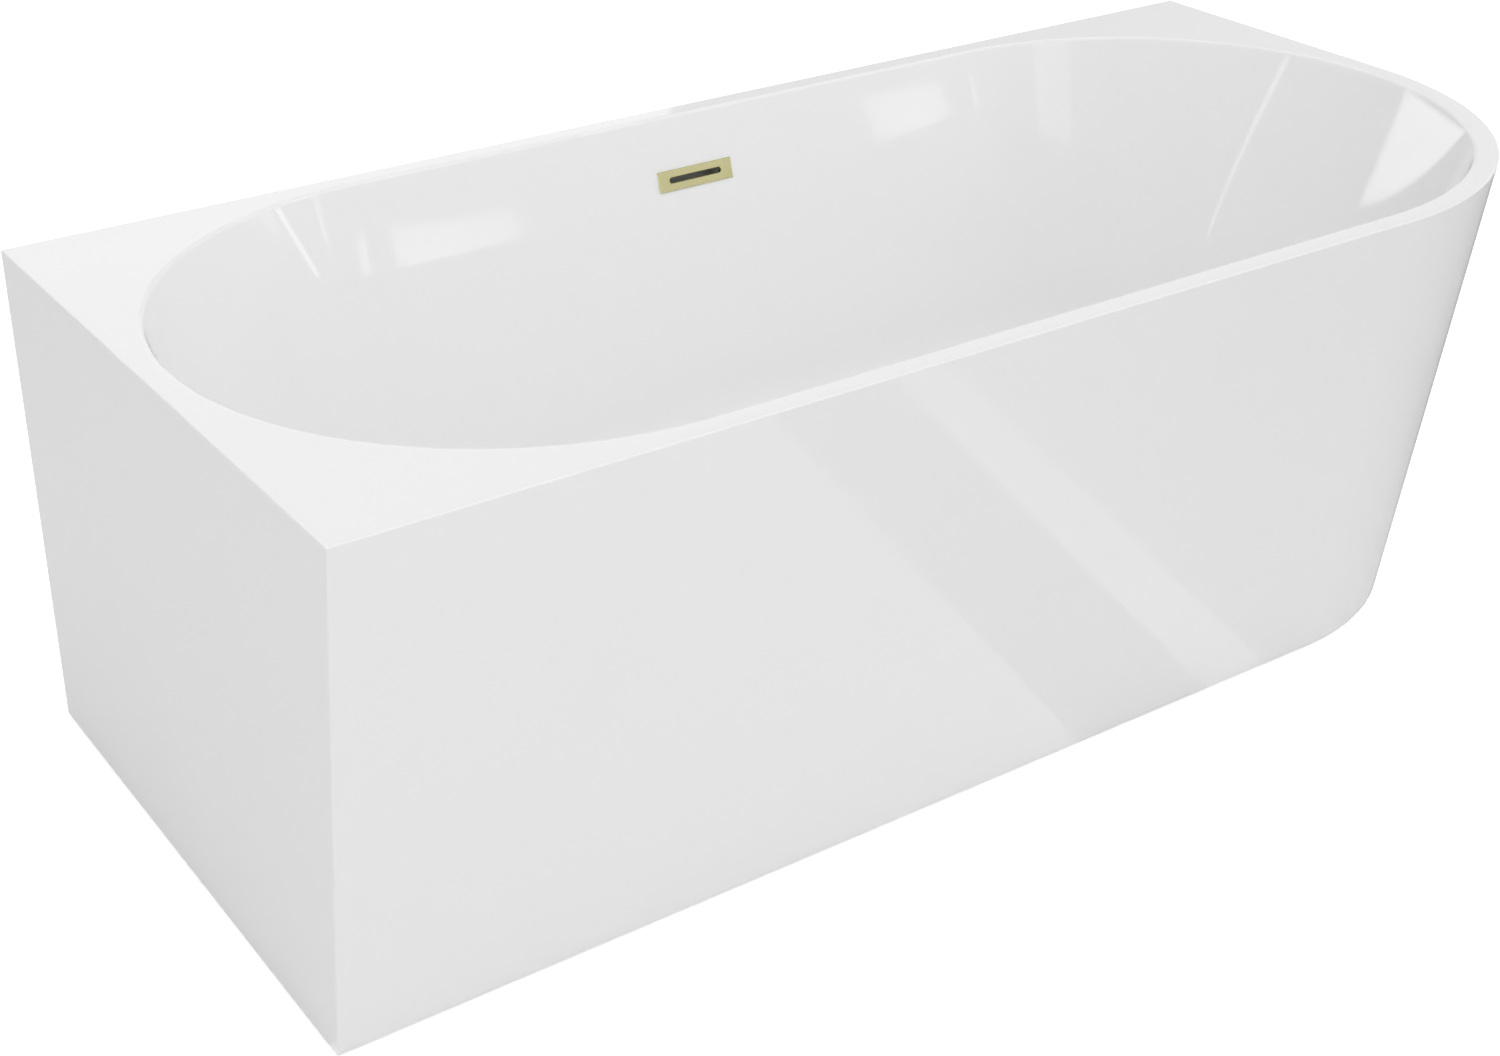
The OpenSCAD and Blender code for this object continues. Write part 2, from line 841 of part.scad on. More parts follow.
// A rectangular block with two opposite pairs of bevelled edges around its upper face
module bevelled_plate(w, h, t, bevel) {
    intersection() {
        translate([-w / 2, 0, 0])
            rotate([90, 0, 90])
                linear_extrude(w)
                    polygon([[-h / 2, 0], [h / 2, 0], [h / 2, t - bevel], [h / 2 - bevel, t],
                        [bevel - h / 2, t], [-h / 2, t - bevel]]);
        translate([0, h / 2, 0])
            rotate([90, 0, 0])
                linear_extrude(h)
                    polygon([[-w / 2, 0], [w / 2, 0], [w / 2, t - bevel], [w / 2 - bevel, t],
                        [bevel - w / 2, t], [-w / 2, t - bevel]]);
    }
}

module overflow_plate() {
    stud_l = -over_face + over_flange_t + stud_nut_h;
    color("darkkhaki")
        on_back_wall() {
            difference() {
                union() {
                    bevelled_plate(plate_w, plate_h, plate_t, plate_bevel);
                    translate([0, 0, -slot_depth])
                        slot(collar_w, collar_hh, slot_depth);
                }
                translate([0, 0, -slot_depth - cut])
                    slot(slot_w, slot_h, slot_depth + plate_t + 2 * cut);
            }
            for (side = [-1, 1])
                translate([side * stud_x, 0, -stud_l])
                    cylinder(r = stud_r, h = stud_l);
        }
}

module overflow_seal() {
    color("dimgray")
        on_back_wall()
            translate([0, 0, over_face])
                difference() {
                    translate([-over_half_w, -over_h / 2 - over_lip, 0])
                        cube([2 * over_half_w, over_h + 2 * over_lip, over_seal_t]);
                    translate([0, 0, -cut])
                        slot(wall_slot_w, wall_slot_h, over_seal_t + 2 * cut);
                    for (side = [-1, 1])
                        translate([side * stud_x, 0, -cut])
                            cylinder(r = stud_r + screw_gap, h = over_seal_t + 2 * cut);
                }
}

module overflow_body() {
    chamber_w = 2 * (stud_x - stud_nut_r - screw_gap);
    inner_w = chamber_w - 2 * over_wall;
    inner_h = over_h - 2 * over_wall;
    color("whitesmoke")
        on_back_wall()
            difference() {
                union() {
                    translate([-over_half_w, -over_h / 2 - over_lip, over_face - over_flange_t])
                        cube([2 * over_half_w, over_h + 2 * over_lip, over_flange_t]);
                    translate([-chamber_w / 2, -over_h / 2, over_face - over_deep])
                        cube([chamber_w, over_h, over_deep]);
                    translate([0, 0, hose_in])
                        rotate([90, 0, 0])
                            cylinder(r = spigot_r, h = hose_start + spigot_l);
                }
                translate([-inner_w / 2, -inner_h / 2, over_face - over_deep + over_wall])
                    cube([inner_w, inner_h, over_deep]);
                translate([0, 0, hose_in])
                    rotate([90, 0, 0])
                        cylinder(r = spigot_r - pipe_t, h = hose_start + spigot_l + cut);
                for (side = [-1, 1])
                    translate([side * stud_x, 0, over_face - over_flange_t - cut])
                        cylinder(r = stud_r + screw_gap, h = over_flange_t + 2 * cut);
            }
}

module overflow_nuts() {
    color("gainsboro")
        on_back_wall()
            for (side = [-1, 1])
                translate([side * stud_x, 0, over_face - over_flange_t - stud_nut_h])
                    difference() {
                        cylinder(r = stud_nut_r, h = stud_nut_h, $fn = 6);
                        translate([0, 0, -cut])
                            cylinder(r = stud_r + screw_gap, h = stud_nut_h + 2 * cut);
                    }
}

// Stations of the hose's middle line: [y, z, angle from straight down]
function hose_station(a) = [
    knee_y - knee_back + hose_bend * cos(a),
    inlet_z + hose_bend - hose_bend * sin(a),
    a
];
hose_path = concat(
    [[hose_y0, hose_z0, wall_lean]],
    [for (i = [0:arc_n]) hose_station(wall_lean + (90 - wall_lean) * i / arc_n)],
    [[hose_y1, inlet_z, 90]]
);

// A round section of the hose at one station
function hose_ring(at, r, sides) = [
    for (j = [0:sides - 1])
        let (b = 360 * j / sides)
            [r * cos(b), at[0] + r * sin(b) * cos(at[2]), at[1] - r * sin(b) * sin(at[2])]
];

module overflow_hose() {
    sides = 32;
    last = len(hose_path) - 1;
    inner = (last + 1) * sides;
    color("gray")
        polyhedron(
            points = [
                for (r = [hose_r, hose_r - hose_t], at = hose_path)
                    each hose_ring(at, r, sides)
            ],
            faces = [
                for (j = [0:sides - 1])
                    let (k = (j + 1) % sides)
                        each concat(
                            [for (i = [0:last - 1]) let (n = i * sides) [n + j, n + k, n + sides + k, n + sides + j]],
                            [for (i = [0:last - 1]) let (n = inner + i * sides)
                                [n + k, n + j, n + sides + j, n + sides + k]],
                            [[k, j, inner + j, inner + k]],
                            [let (n = last * sides) [n + j, n + k, inner + n + k, inner + n + j]]
                        )
            ]
        );
}

module hose_clip_top() {
    color("silver")
        on_back_wall()
            translate([0, -hose_start - (spigot_l - clip_w) / 2, hose_in])
                rotate([90, 0, 0])
                    tube(hose_r + clip_t, hose_r, clip_w);
}

module hose_clip_bottom() {
    color("silver")
        translate([0, hose_y1 + (spigot_l - clip_w) / 2, inlet_z])
            rotate([-90, 0, 0])
                tube(hose_r + clip_t, hose_r, clip_w);
}

// A union nut about Z: skirt outside a threaded collar, lip over the seal
module union_nut(collar, pipe) {
    tube(collar + run_gap + union_t, collar + run_gap, thread_h);
    translate([0, 0, thread_h])
        tube(collar + run_gap + union_t, pipe + push_gap, union_t);
}

module trap_cup() {
    color("whitesmoke")
        difference() {
            union() {
                translate([0, 0, trap_gap])
                    cylinder(r = trap_r, h = trap_top - trap_gap);
                translate([0, 0, trap_top])
                    cylinder(r = collar_r, h = thread_h - ring_t);
                translate([0, 0, outlet_z])
                    rotate([0, -90, 0])
                        cylinder(r = outlet_collar_r, h = trap_r + thread_h - ring_t);
            }
            translate([0, 0, trap_gap + trap_t])
                cylinder(r = trap_r - trap_t, h = trap_top - trap_gap - 2 * trap_t);
            translate([0, 0, trap_top - trap_t - cut])
                cylinder(r = neck_r + push_gap, h = trap_t + thread_h + 2 * cut);
            translate([0, 0, outlet_z])
                rotate([0, -90, 0])
                    cylinder(r = outlet_r + push_gap, h = trap_r + thread_h + cut);
        }
}

module trap_seal() {
    color("dimgray")
        translate([0, 0, trap_top + thread_h - ring_t])
            tube(collar_r, neck_r, ring_t);
}

module trap_nut() {
    color("whitesmoke")
        translate([0, 0, trap_top])
            union_nut(collar_r, neck_r);
}

module outlet_seal() {
    color("dimgray")
        translate([outlet_x + ring_t, 0, outlet_z])
            rotate([0, -90, 0])
                tube(outlet_collar_r, outlet_r, ring_t);
}

module outlet_nut() {
    color("whitesmoke")
        translate([-trap_r, 0, outlet_z])
            rotate([0, -90, 0])
                union_nut(outlet_collar_r, outlet_r);
}

module outlet_pipe() {
    inside = trap_t + thread_h + union_t;
    color("whitesmoke")
        translate([-trap_r + trap_t, 0, outlet_z])
            rotate([0, -90, 0]) {
                tube(outlet_r, outlet_r - outlet_t, inside + bead_w + outlet_l);
                translate([0, 0, inside])
                    tube(outlet_r + bead_h, outlet_r - outlet_t / 2, bead_w);
            }
}

basin();
outer_shell();
rim_bond();
corner_board_front_left();
corner_board_back_left();
corner_board_back_right();
base_board();
rail_front();
rail_back();
cross_tube_left();
cross_tube_middle();
cross_tube_right();
end_tube();
tube_caps();
shell_brackets();
bracket_screws();
board_screws();
weld_nuts();
foot_stem(0);  // foot_stem_1
foot_stem(1);  // foot_stem_2
foot_stem(2);  // foot_stem_3
foot_stem(3);  // foot_stem_4
foot_stem(4);  // foot_stem_5
foot_pad(0);  // foot_pad_1
foot_pad(1);  // foot_pad_2
foot_pad(2);  // foot_pad_3
foot_pad(3);  // foot_pad_4
foot_pad(4);  // foot_pad_5
waste_flange();
waste_seal_top();
waste_seal_bottom();
waste_body();
plug_cap();
plug_seal();
plug_stem();
plug_cartridge();
plug_spring();
overflow_plate();
overflow_seal();
overflow_body();
overflow_nuts();
overflow_hose();
hose_clip_top();
hose_clip_bottom();
trap_cup();
trap_seal();
trap_nut();
outlet_seal();
outlet_nut();
outlet_pipe();
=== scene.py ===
"""Finished look of a back-to-wall bath with one round end, on its steel frame and levelling feet.

Lengths are in metres, and angles in degrees unless said otherwise. +X runs to the round end, +Y to
the wall behind the bath, +Z up, and the origin is on the floor under the middle of the bath.
"""
import json
import logging
import math
from dataclasses import dataclass, field
from enum import Enum

import bpy
import numpy as np
from mathutils import Matrix, Vector


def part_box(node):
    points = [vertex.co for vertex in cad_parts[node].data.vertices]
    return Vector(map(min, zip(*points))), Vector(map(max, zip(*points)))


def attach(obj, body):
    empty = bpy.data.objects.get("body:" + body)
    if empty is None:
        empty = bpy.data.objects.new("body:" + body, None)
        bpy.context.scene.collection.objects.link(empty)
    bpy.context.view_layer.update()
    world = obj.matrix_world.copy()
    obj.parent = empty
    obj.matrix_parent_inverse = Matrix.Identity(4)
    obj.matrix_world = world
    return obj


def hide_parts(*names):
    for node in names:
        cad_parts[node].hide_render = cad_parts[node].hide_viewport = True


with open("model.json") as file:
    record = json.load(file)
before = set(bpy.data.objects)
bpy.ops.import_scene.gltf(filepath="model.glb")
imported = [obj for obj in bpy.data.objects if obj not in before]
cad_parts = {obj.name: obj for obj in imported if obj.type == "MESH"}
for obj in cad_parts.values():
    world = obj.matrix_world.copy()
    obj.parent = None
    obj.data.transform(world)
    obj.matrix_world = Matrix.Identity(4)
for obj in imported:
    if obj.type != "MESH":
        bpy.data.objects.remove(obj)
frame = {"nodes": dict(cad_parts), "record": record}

LOG = logging.getLogger("bath")
Array = np.ndarray
Pair = tuple[float, float]
Triple = tuple[float, float, float]
Colour = Triple
THREAD_ROWS = 7  # rows of points in each turn of a thread
THREAD_DEPTH = 0.6  # depth of a thread, as a share of its pitch


# ---------------------------------------------------------------- surfaces


@dataclass
class Sheet:
    """A grid of points, rows by columns, closed round its columns.

    Attributes:
        points: Positions, shaped (rows, columns, 3).
        ring: True where the last row joins the first, as on a torus.
        start: Point that closes the first row, or None.
        end: Point that closes the last row, or None.
        finish: Material index, one for all faces or one for each row of faces.
    """

    points: Array
    ring: bool = False
    start: Array | None = None
    end: Array | None = None
    finish: int | Array = 0

    def moved(self, place: Matrix) -> "Sheet":
        """The same sheet carried by a 4 by 4 matrix.

        Args:
            place: The matrix; it may not mirror.

        Returns:
            A new sheet.
        """
        turn = np.array(place.to_3x3())
        shift = np.array(place.translation)
        poles = [None if p is None else p @ turn.T + shift for p in (self.start, self.end)]
        return Sheet(self.points @ turn.T + shift, self.ring, poles[0], poles[1], self.finish)

    def faces(self) -> tuple[Array, Array, Array]:
        """Corner numbers of every face, triangles padded with -1 in their last corner.

        Corner (i, j) is number i * columns + j, and the face between rows i and i + 1 joins
        columns j and j + 1, wrapping round. The poles come after the grid.

        Returns:
            Positions (n, 3), faces (m, 4) and a material index for each face (m,).
        """
        rows, cols = self.points.shape[:2]
        spans = rows if self.ring else rows - 1
        i, j = np.meshgrid(np.arange(spans), np.arange(cols), indexing="ij")
        k, n = (j + 1) % cols, (i + 1) % rows
        quads = np.stack([i * cols + j, i * cols + k, n * cols + k, n * cols + j], -1).reshape(-1, 4)
        finish = np.broadcast_to(np.asarray(self.finish), (spans,))
        marks = [np.repeat(finish, cols)]
        points, faces = [self.points.reshape(-1, 3)], [quads]
        j = np.arange(cols)
        for pole, row, turn in ((self.start, 0, 1), (self.end, rows - 1, -1)):
            if pole is None:
                continue
            number = rows * cols + len(points) - 1
            ring = np.stack([row * cols + j, row * cols + (j + 1) % cols], -1)[:, ::turn]
            tip = np.full(cols, number)
            faces.append(np.stack([tip, ring[:, 1], ring[:, 0], np.full(cols, -1)], -1))
            marks.append(np.full(cols, finish[0] if row == 0 else finish[-1]))
            points.append(np.asarray(pole, float).reshape(1, 3))
        return outward(np.concatenate(points), np.concatenate(faces)) + (np.concatenate(marks),)


def outward(points: Array, faces: Array) -> tuple[Array, Array]:
    """Turns a closed sheet's faces outwards.

    The signed volume is a sixth of the sum of the triple products of each triangle's corners.
    Where it is negative, every face's corners are put in reverse order.

    Args:
        points: Positions (n, 3).
        faces: Faces (m, 4), triangles padded with -1.

    Returns:
        The points and the faces.
    """
    p = points - points.mean(0)
    a, b, c, d = (p[faces[:, k]] for k in range(4))
    solid = np.einsum("ij,ij->i", a, np.cross(b, c)).sum()
    quad = faces[:, 3] >= 0
    solid += np.einsum("ij,ij->i", a[quad], np.cross(c[quad], d[quad])).sum()
    if solid < 0:
        flipped = faces[:, ::-1].copy()
        flipped[~quad] = faces[~quad][:, [2, 1, 0, 3]]
        faces = flipped
    return points, faces


def make_piece(
    name: str, sheets: list[Sheet], finishes: list[bpy.types.Material], crease: float
) -> bpy.types.Object:
    """Puts sheets into one mesh object at the origin.

    Args:
        name: Name of the piece.
        sheets: Closed sheets.
        finishes: Materials, in the order of the sheets' finish numbers.
        crease: Angle above which an edge stays sharp.

    Returns:
        The linked object.
    """
    points, faces, marks, count = [], [], [], 0
    for sheet in sheets:
        p, f, m = sheet.faces()
        points.append(p)
        faces.append(np.where(f >= 0, f + count, -1))
        marks.append(m)
        count += len(p)
    points, faces, marks = np.concatenate(points), np.concatenate(faces), np.concatenate(marks)
    corners = np.where(faces[:, 3] >= 0, 4, 3)
    mesh = bpy.data.meshes.new(name)
    mesh.vertices.add(len(points))
    mesh.vertices.foreach_set("co", points.astype(np.float32).ravel())
    mesh.loops.add(int(corners.sum()))
    mesh.loops.foreach_set("vertex_index", faces[faces >= 0].astype(np.int32))
    mesh.polygons.add(len(faces))
    mesh.polygons.foreach_set("loop_start", (np.cumsum(corners) - corners).astype(np.int32))
    mesh.polygons.foreach_set("material_index", marks.astype(np.int32))
    mesh.update(calc_edges=True)
    mesh.validate()
    for finish in finishes:
        mesh.materials.append(finish)
    piece = linked(name, mesh)
    smooth(mesh, crease)
    return piece


def linked(name: str, data: bpy.types.ID) -> bpy.types.Object:
    """A new object at the origin, linked to the scene.

    Args:
        name: Name of the object.
        data: Its mesh, light or camera.

    Returns:
        The object.
    """
    thing = bpy.data.objects.new(name, data)
    bpy.context.scene.collection.objects.link(thing)
    return thing


def smooth(mesh: bpy.types.Mesh, crease: float) -> None:
    """Shades a mesh smooth, with its sharpest edges left sharp.

    Args:
        mesh: The mesh.
        crease: Angle above which an edge stays sharp.
    """
    mesh.polygons.foreach_set("use_smooth", np.ones(len(mesh.polygons), bool))
    mesh.set_sharp_from_angle(angle=math.radians(crease))
    mesh.update()


def around(sides: int) -> Array:
    """Angles of evenly spaced columns, once round, in radians."""
    return 2 * np.pi * np.arange(sides) / sides


def polar(radius: Array | float, angle: Array, height: Array | float) -> Array:
    """Points at the radius times the cosine and the sine of the angle, at the height.

    Args:
        radius: Distance from the Z axis.
        angle: Angle from +X, in radians.
        height: Height. The three are spread to one shape.

    Returns:
        Positions, in that shape with the 3 coordinates last.
    """
    r, a, z = np.broadcast_arrays(radius, angle, height)
    return np.stack([r * np.cos(a), r * np.sin(a), z], -1)


def lifted(outlines: list[tuple[Array, float]]) -> Array:
    """Flat outlines as rows of points, each put at its height.

    Args:
        outlines: Outline (columns, 2) and height of each row.

    Returns:
        Positions (rows, columns, 3).
    """
    return np.stack([np.column_stack([xy, np.full(len(xy), z)]) for xy, z in outlines])


def bow(middle: Pair, radius: float, first: float, last: float, steps: int) -> Array:
    """Points of a round corner in a profile.

    Point i stands at the middle plus the radius times the cosine and sine of an angle that runs
    evenly from first to last.

    Args:
        middle: Distance from the axis, and height, of the corner's middle.
        radius: Radius of the corner.
        first: Angle of the first point.
        last: Angle of the last point.
        steps: Number of chords.

    Returns:
        Positions (steps + 1, 2).
    """
    a = np.radians(np.linspace(first, last, steps + 1))
    return np.array(middle) + radius * np.stack([np.cos(a), np.sin(a)], -1)


def turned(profile: Array, sides: int, ring: bool = False, wave: Array | None = None) -> Sheet:
    """A turned surface about Z.

    Point (i, j) stands at the profile's distance i, times the wave of column j if there is one,
    in the direction of angle j, at the profile's height i. A profile end on the axis is a pole.

    Args:
        profile: Distances and heights (rows, 2).
        sides: Number of columns.
        ring: True where the profile closes on itself.
        wave: Factors on the distance (rows, sides), or None.

    Returns:
        The sheet.
    """
    profile = np.asarray(profile, float)
    start = np.array([0, 0, profile[0, 1]]) if profile[0, 0] == 0 else None
    end = np.array([0, 0, profile[-1, 1]]) if profile[-1, 0] == 0 else None
    body = profile[profile[:, 0] > 0]
    r = body[:, :1] * (1 if wave is None else wave)
    return Sheet(polar(r, around(sides), body[:, 1:]), ring, start, end)


def threaded(radius: float, pitch: float, low: float, high: float, sides: int) -> Sheet:
    """A threaded rod along Z.

    The distance from the axis falls from the radius by up to the thread's depth, with the
    triangle wave of the height over the pitch less the turn of the column, and fades to the root
    at the ends.

    Args:
        radius: Radius over the crests.
        pitch: Rise of one turn.
        low: Height of the lower end.
        high: Height of the upper end.
        sides: Number of columns.

    Returns:
        The sheet.
    """
    rows = int(round((high - low) / pitch * THREAD_ROWS))
    z = np.linspace(low, high, rows)[:, None]
    turn = np.arange(sides)[None, :] / sides
    saw = np.abs(((z - low) / pitch - turn) % 1.0 - 0.5) * 2
    ends = np.clip(np.minimum(z - low, high - z) / pitch, 0, 1)
    r = radius - THREAD_DEPTH * pitch * (1 - saw * ends)
    poles = np.array([0, 0, low]), np.array([0, 0, high])
    return Sheet(polar(r, 2 * np.pi * turn, z), start=poles[0], end=poles[1])


def hexagon(corner: float, low: float, high: float, bore: float) -> Sheet:
    """A hexagonal nut or collar about Z, with chamfered ends.

    The distance from the axis is the flat's distance over the cosine of the angle from the middle
    of the nearest flat, and at the two ends it is held to a cone, as a turned chamfer leaves it.

    Args:
        corner: Radius over the corners.
        low: Height of the lower end.
        high: Height of the upper end.
        bore: Radius of the bore.

    Returns:
        The sheet.
    """
    a = around(72)
    flat = corner * math.cos(math.pi / 6)
    hexed = flat / np.cos((a + np.pi / 6) % (np.pi / 3) - np.pi / 6)
    cone = corner - flat
    rows = [(low, flat), (low + cone * 0.3, flat + cone * 0.6), (low + cone * 0.6, corner)]
    rows += [(high - cone * 0.6, corner), (high - cone * 0.3, flat + cone * 0.6), (high, flat)]
    outer = [polar(np.minimum(hexed, r), a, z) for z, r in rows]
    inner = [polar(bore, a, z) for z in (high, low)]
    return Sheet(np.stack(outer + inner), ring=True)


def swept(path: Array, radius: Array, sides: int = 24) -> Array:
    """Rings carried along a path that stays in one plane of constant X.

    Each ring stands in the plane of the X direction and of the tangent's normal, which is the
    cross product of the tangent and X.

    Args:
        path: Positions (rows, 3).
        radius: Radius of each ring (rows,).
        sides: Number of columns.

    Returns:
        Positions (rows, sides, 3).
    """
    tangent = np.gradient(path, axis=0)
    tangent /= np.linalg.norm(tangent, axis=1, keepdims=True)
    across = np.array([1.0, 0.0, 0.0])
    normal = np.cross(tangent, across)
    a = around(sides)
    spread = np.cos(a)[None, :, None] * across + np.sin(a)[None, :, None] * normal[:, None, :]
    return path[:, None, :] + radius[:, None, None] * spread


def pillow(middle: Triple, half: Triple, blunt: float, rows: int = 12, sides: int = 32) -> Sheet:
    """A block with rounded edges.

    Each coordinate is its half size times the sign and the power `blunt` of the cosine or sine
    that a sphere would have there, so a small power gives a box and 1 an ellipsoid.

    Args:
        middle: Middle of the block.
        half: Half sizes along X, Y and Z.
        blunt: The power.
        rows: Rows between the poles.
        sides: Number of columns.

    Returns:
        The sheet.
    """
    def soft(v: Array) -> Array:
        """Sign of v times its power."""
        return np.sign(v) * np.abs(v) ** blunt

    b = np.radians(np.linspace(-90, 90, rows + 2))[1:-1, None]
    a = around(sides)[None, :]
    level = np.broadcast_to(soft(np.sin(b)), (rows, sides))
    reach = soft(np.cos(b))
    grid = np.stack([reach * soft(np.cos(a)), reach * soft(np.sin(a)), level], -1)
    points = np.array(middle) + grid * np.array(half)
    pole = np.array([0, 0, half[2]])
    return Sheet(points, start=np.array(middle) - pole, end=np.array(middle) + pole)


# ---------------------------------------------------------------- finishes


class Tree:
    """A short way to write a node tree."""

    def __init__(self, tree: bpy.types.NodeTree) -> None:
        """Keeps the tree."""
        self.tree = tree

    def add(self, kind: str, values: dict | None = None, **settings: object) -> bpy.types.Node:
        """Adds a node, sets it up and feeds its inputs.

        Args:
            kind: Type of the node, without its ShaderNode prefix.
            values: Input name or number to a value, or to an output socket that feeds it.
            settings: Properties of the node.

        Returns:
            The node.
        """
        node = self.tree.nodes.new("ShaderNode" + kind)
        for key, value in settings.items():
            setattr(node, key, value)
        for key, value in (values or {}).items():
            if isinstance(value, bpy.types.NodeSocket):
                self.tree.links.new(value, node.inputs[key])
            else:
                node.inputs[key].default_value = value
        return node

    def maths(self, operation: str, *values: object) -> bpy.types.NodeSocket:
        """Output of a Math node fed with numbers or sockets."""
        return self.add("Math", dict(enumerate(values)), operation=operation).outputs[0]

    def ramp(
        self, factor: bpy.types.NodeSocket, stops: list[tuple[float, Colour]]
    ) -> bpy.types.NodeSocket:
        """Colour output of a ramp.

        Args:
            factor: What drives it.
            stops: Places from 0 to 1, with their colours.

        Returns:
            The colour socket.
        """
        node = self.add("ValToRGB", {"Fac": factor})
        while len(node.color_ramp.elements) < len(stops):
            node.color_ramp.elements.new(0.5)
        for element, (place, colour) in zip(node.color_ramp.elements, stops):
            element.position, element.color = place, (*colour, 1.0)
        return node.outputs["Color"]

    def mix(self, factor: object, a: object, b: object, blend: str) -> bpy.types.NodeSocket:
        """Colour output of a Mix node.

        Args:
            factor: Share of b.
            a: First colour or socket.
            b: Second colour or socket.
            blend: Way of mixing.

        Returns:
            The colour socket.
        """
        node = self.add("Mix", data_type="RGBA", blend_type=blend)
        for number, value in ((0, factor), (6, a), (7, b)):
            if isinstance(value, bpy.types.NodeSocket):
                self.tree.links.new(value, node.inputs[number])
            else:
                node.inputs[number].default_value = (*value, 1.0) if isinstance(value, tuple) else value
        return node.outputs[2]

    def link(self, source: bpy.types.NodeSocket, target: bpy.types.NodeSocket) -> None:
        """Feeds an input from an output."""
        self.tree.links.new(source, target)


def new_group(
    name: str, inputs: dict[str, float], outputs: list[str]
) -> tuple[Tree, bpy.types.Node, bpy.types.Node]:
    """Starts a shader node group of number sockets.

    Args:
        name: Name of the group.
        inputs: Input names with their defaults.
        outputs: Output names.

    Returns:
        The tree, its input node and its output node.
    """
    group = bpy.data.node_groups.new(name, "ShaderNodeTree")
    for key, value in inputs.items():
        socket = group.interface.new_socket(name=key, in_out="INPUT", socket_type="NodeSocketFloat")
        socket.default_value = value
    for key in outputs:
        group.interface.new_socket(name=key, in_out="OUTPUT", socket_type="NodeSocketFloat")
    tree = Tree(group)
    return tree, group.nodes.new("NodeGroupInput"), group.nodes.new("NodeGroupOutput")


def cloud_group() -> bpy.types.NodeTree:
    """Group `cloudiness`: a factor round 1 and a mask that drift slowly over the surface.

    Returns:
        The group.
    """
    tree, inside, out = new_group("cloudiness", {"Scale": 4.0, "Amount": 0.05}, ["Factor", "Mask"])
    place = tree.add("TexCoord").outputs["Object"]
    noise = tree.add("TexNoise", {"Vector": place, "Scale": inside.outputs["Scale"], "Detail": 4.0,
                                  "Roughness": 0.6}).outputs["Fac"]
    swing = tree.maths("MULTIPLY", tree.maths("SUBTRACT", noise, 0.5), 2.0)
    factor = tree.maths("ADD", tree.maths("MULTIPLY", swing, inside.outputs["Amount"]), 1.0)
    tree.link(factor, out.inputs["Factor"])
    tree.link(noise, out.inputs["Mask"])
    return tree.tree


def grain_group() -> bpy.types.NodeTree:
    """Group `grain`: a fine height drawn out along one direction, as rolling or polishing leaves.

    Returns:
        The group.
    """
    tree, inside, out = new_group("grain", {"Scale": 300.0, "Along X": 1.0, "Along Y": 1.0,
                                            "Along Z": 1.0}, ["Height"])
    place = tree.add("TexCoord").outputs["Object"]
    pull = tree.add("CombineXYZ", {i: inside.outputs["Along " + a] for i, a in enumerate("XYZ")})
    drawn = tree.add("VectorMath", {0: place, 1: pull.outputs[0]}, operation="MULTIPLY").outputs[0]
    noise = tree.add("TexNoise", {"Vector": drawn, "Scale": inside.outputs["Scale"], "Detail": 3.0})
    tree.link(noise.outputs["Fac"], out.inputs["Height"])
    return tree.tree


def chip_group() -> bpy.types.NodeTree:
    """Group `chips`: cells with a number each, as in spangle or pressed wood, and their relief.

    Returns:
        The group.
    """
    tree, inside, out = new_group("chips", {"Scale": 100.0, "Jitter": 0.002}, ["Number", "Relief"])
    place = tree.add("TexCoord").outputs["Object"]
    scale, jitter = inside.outputs["Scale"], inside.outputs["Jitter"]
    coarse = tree.maths("MULTIPLY", scale, 0.7)
    noise = tree.add("TexNoise", {"Vector": place, "Scale": coarse, "Detail": 2.0}).outputs["Color"]
    shift = tree.add("VectorMath", {0: noise, 1: (0.5, 0.5, 0.5)}, operation="SUBTRACT").outputs[0]
    scaled = tree.add("VectorMath", {0: shift, "Scale": jitter}, operation="SCALE").outputs[0]
    moved = tree.add("VectorMath", {0: place, 1: scaled}, operation="ADD").outputs[0]
    cells = tree.add("TexVoronoi", {"Vector": moved, "Scale": scale})
    parts = tree.add("SeparateColor", {"Color": cells.outputs["Color"]})
    tree.link(parts.outputs[0], out.inputs["Number"])
    tree.link(cells.outputs["Distance"], out.inputs["Relief"])
    return tree.tree


class Effect(Enum):
    """The shared effects, by the name of each one's group."""

    CLOUD = "cloudiness"
    GRAIN = "grain"
    CHIPS = "chips"


GROUP_MAKERS = {Effect.CLOUD: cloud_group, Effect.GRAIN: grain_group, Effect.CHIPS: chip_group}


def effect(tree: Tree, kind: Effect, values: dict[str, float]) -> bpy.types.Node:
    """Places a shared effect in a material, building its group on first use.

    Args:
        tree: The material's tree.
        kind: Which effect.
        values: Its inputs.

    Returns:
        The group node.
    """
    group = bpy.data.node_groups.get(kind.value) or GROUP_MAKERS[kind]()
    node = tree.tree.nodes.new("ShaderNodeGroup")
    node.node_tree = group
    for key, value in values.items():
        node.inputs[key].default_value = value
    return node


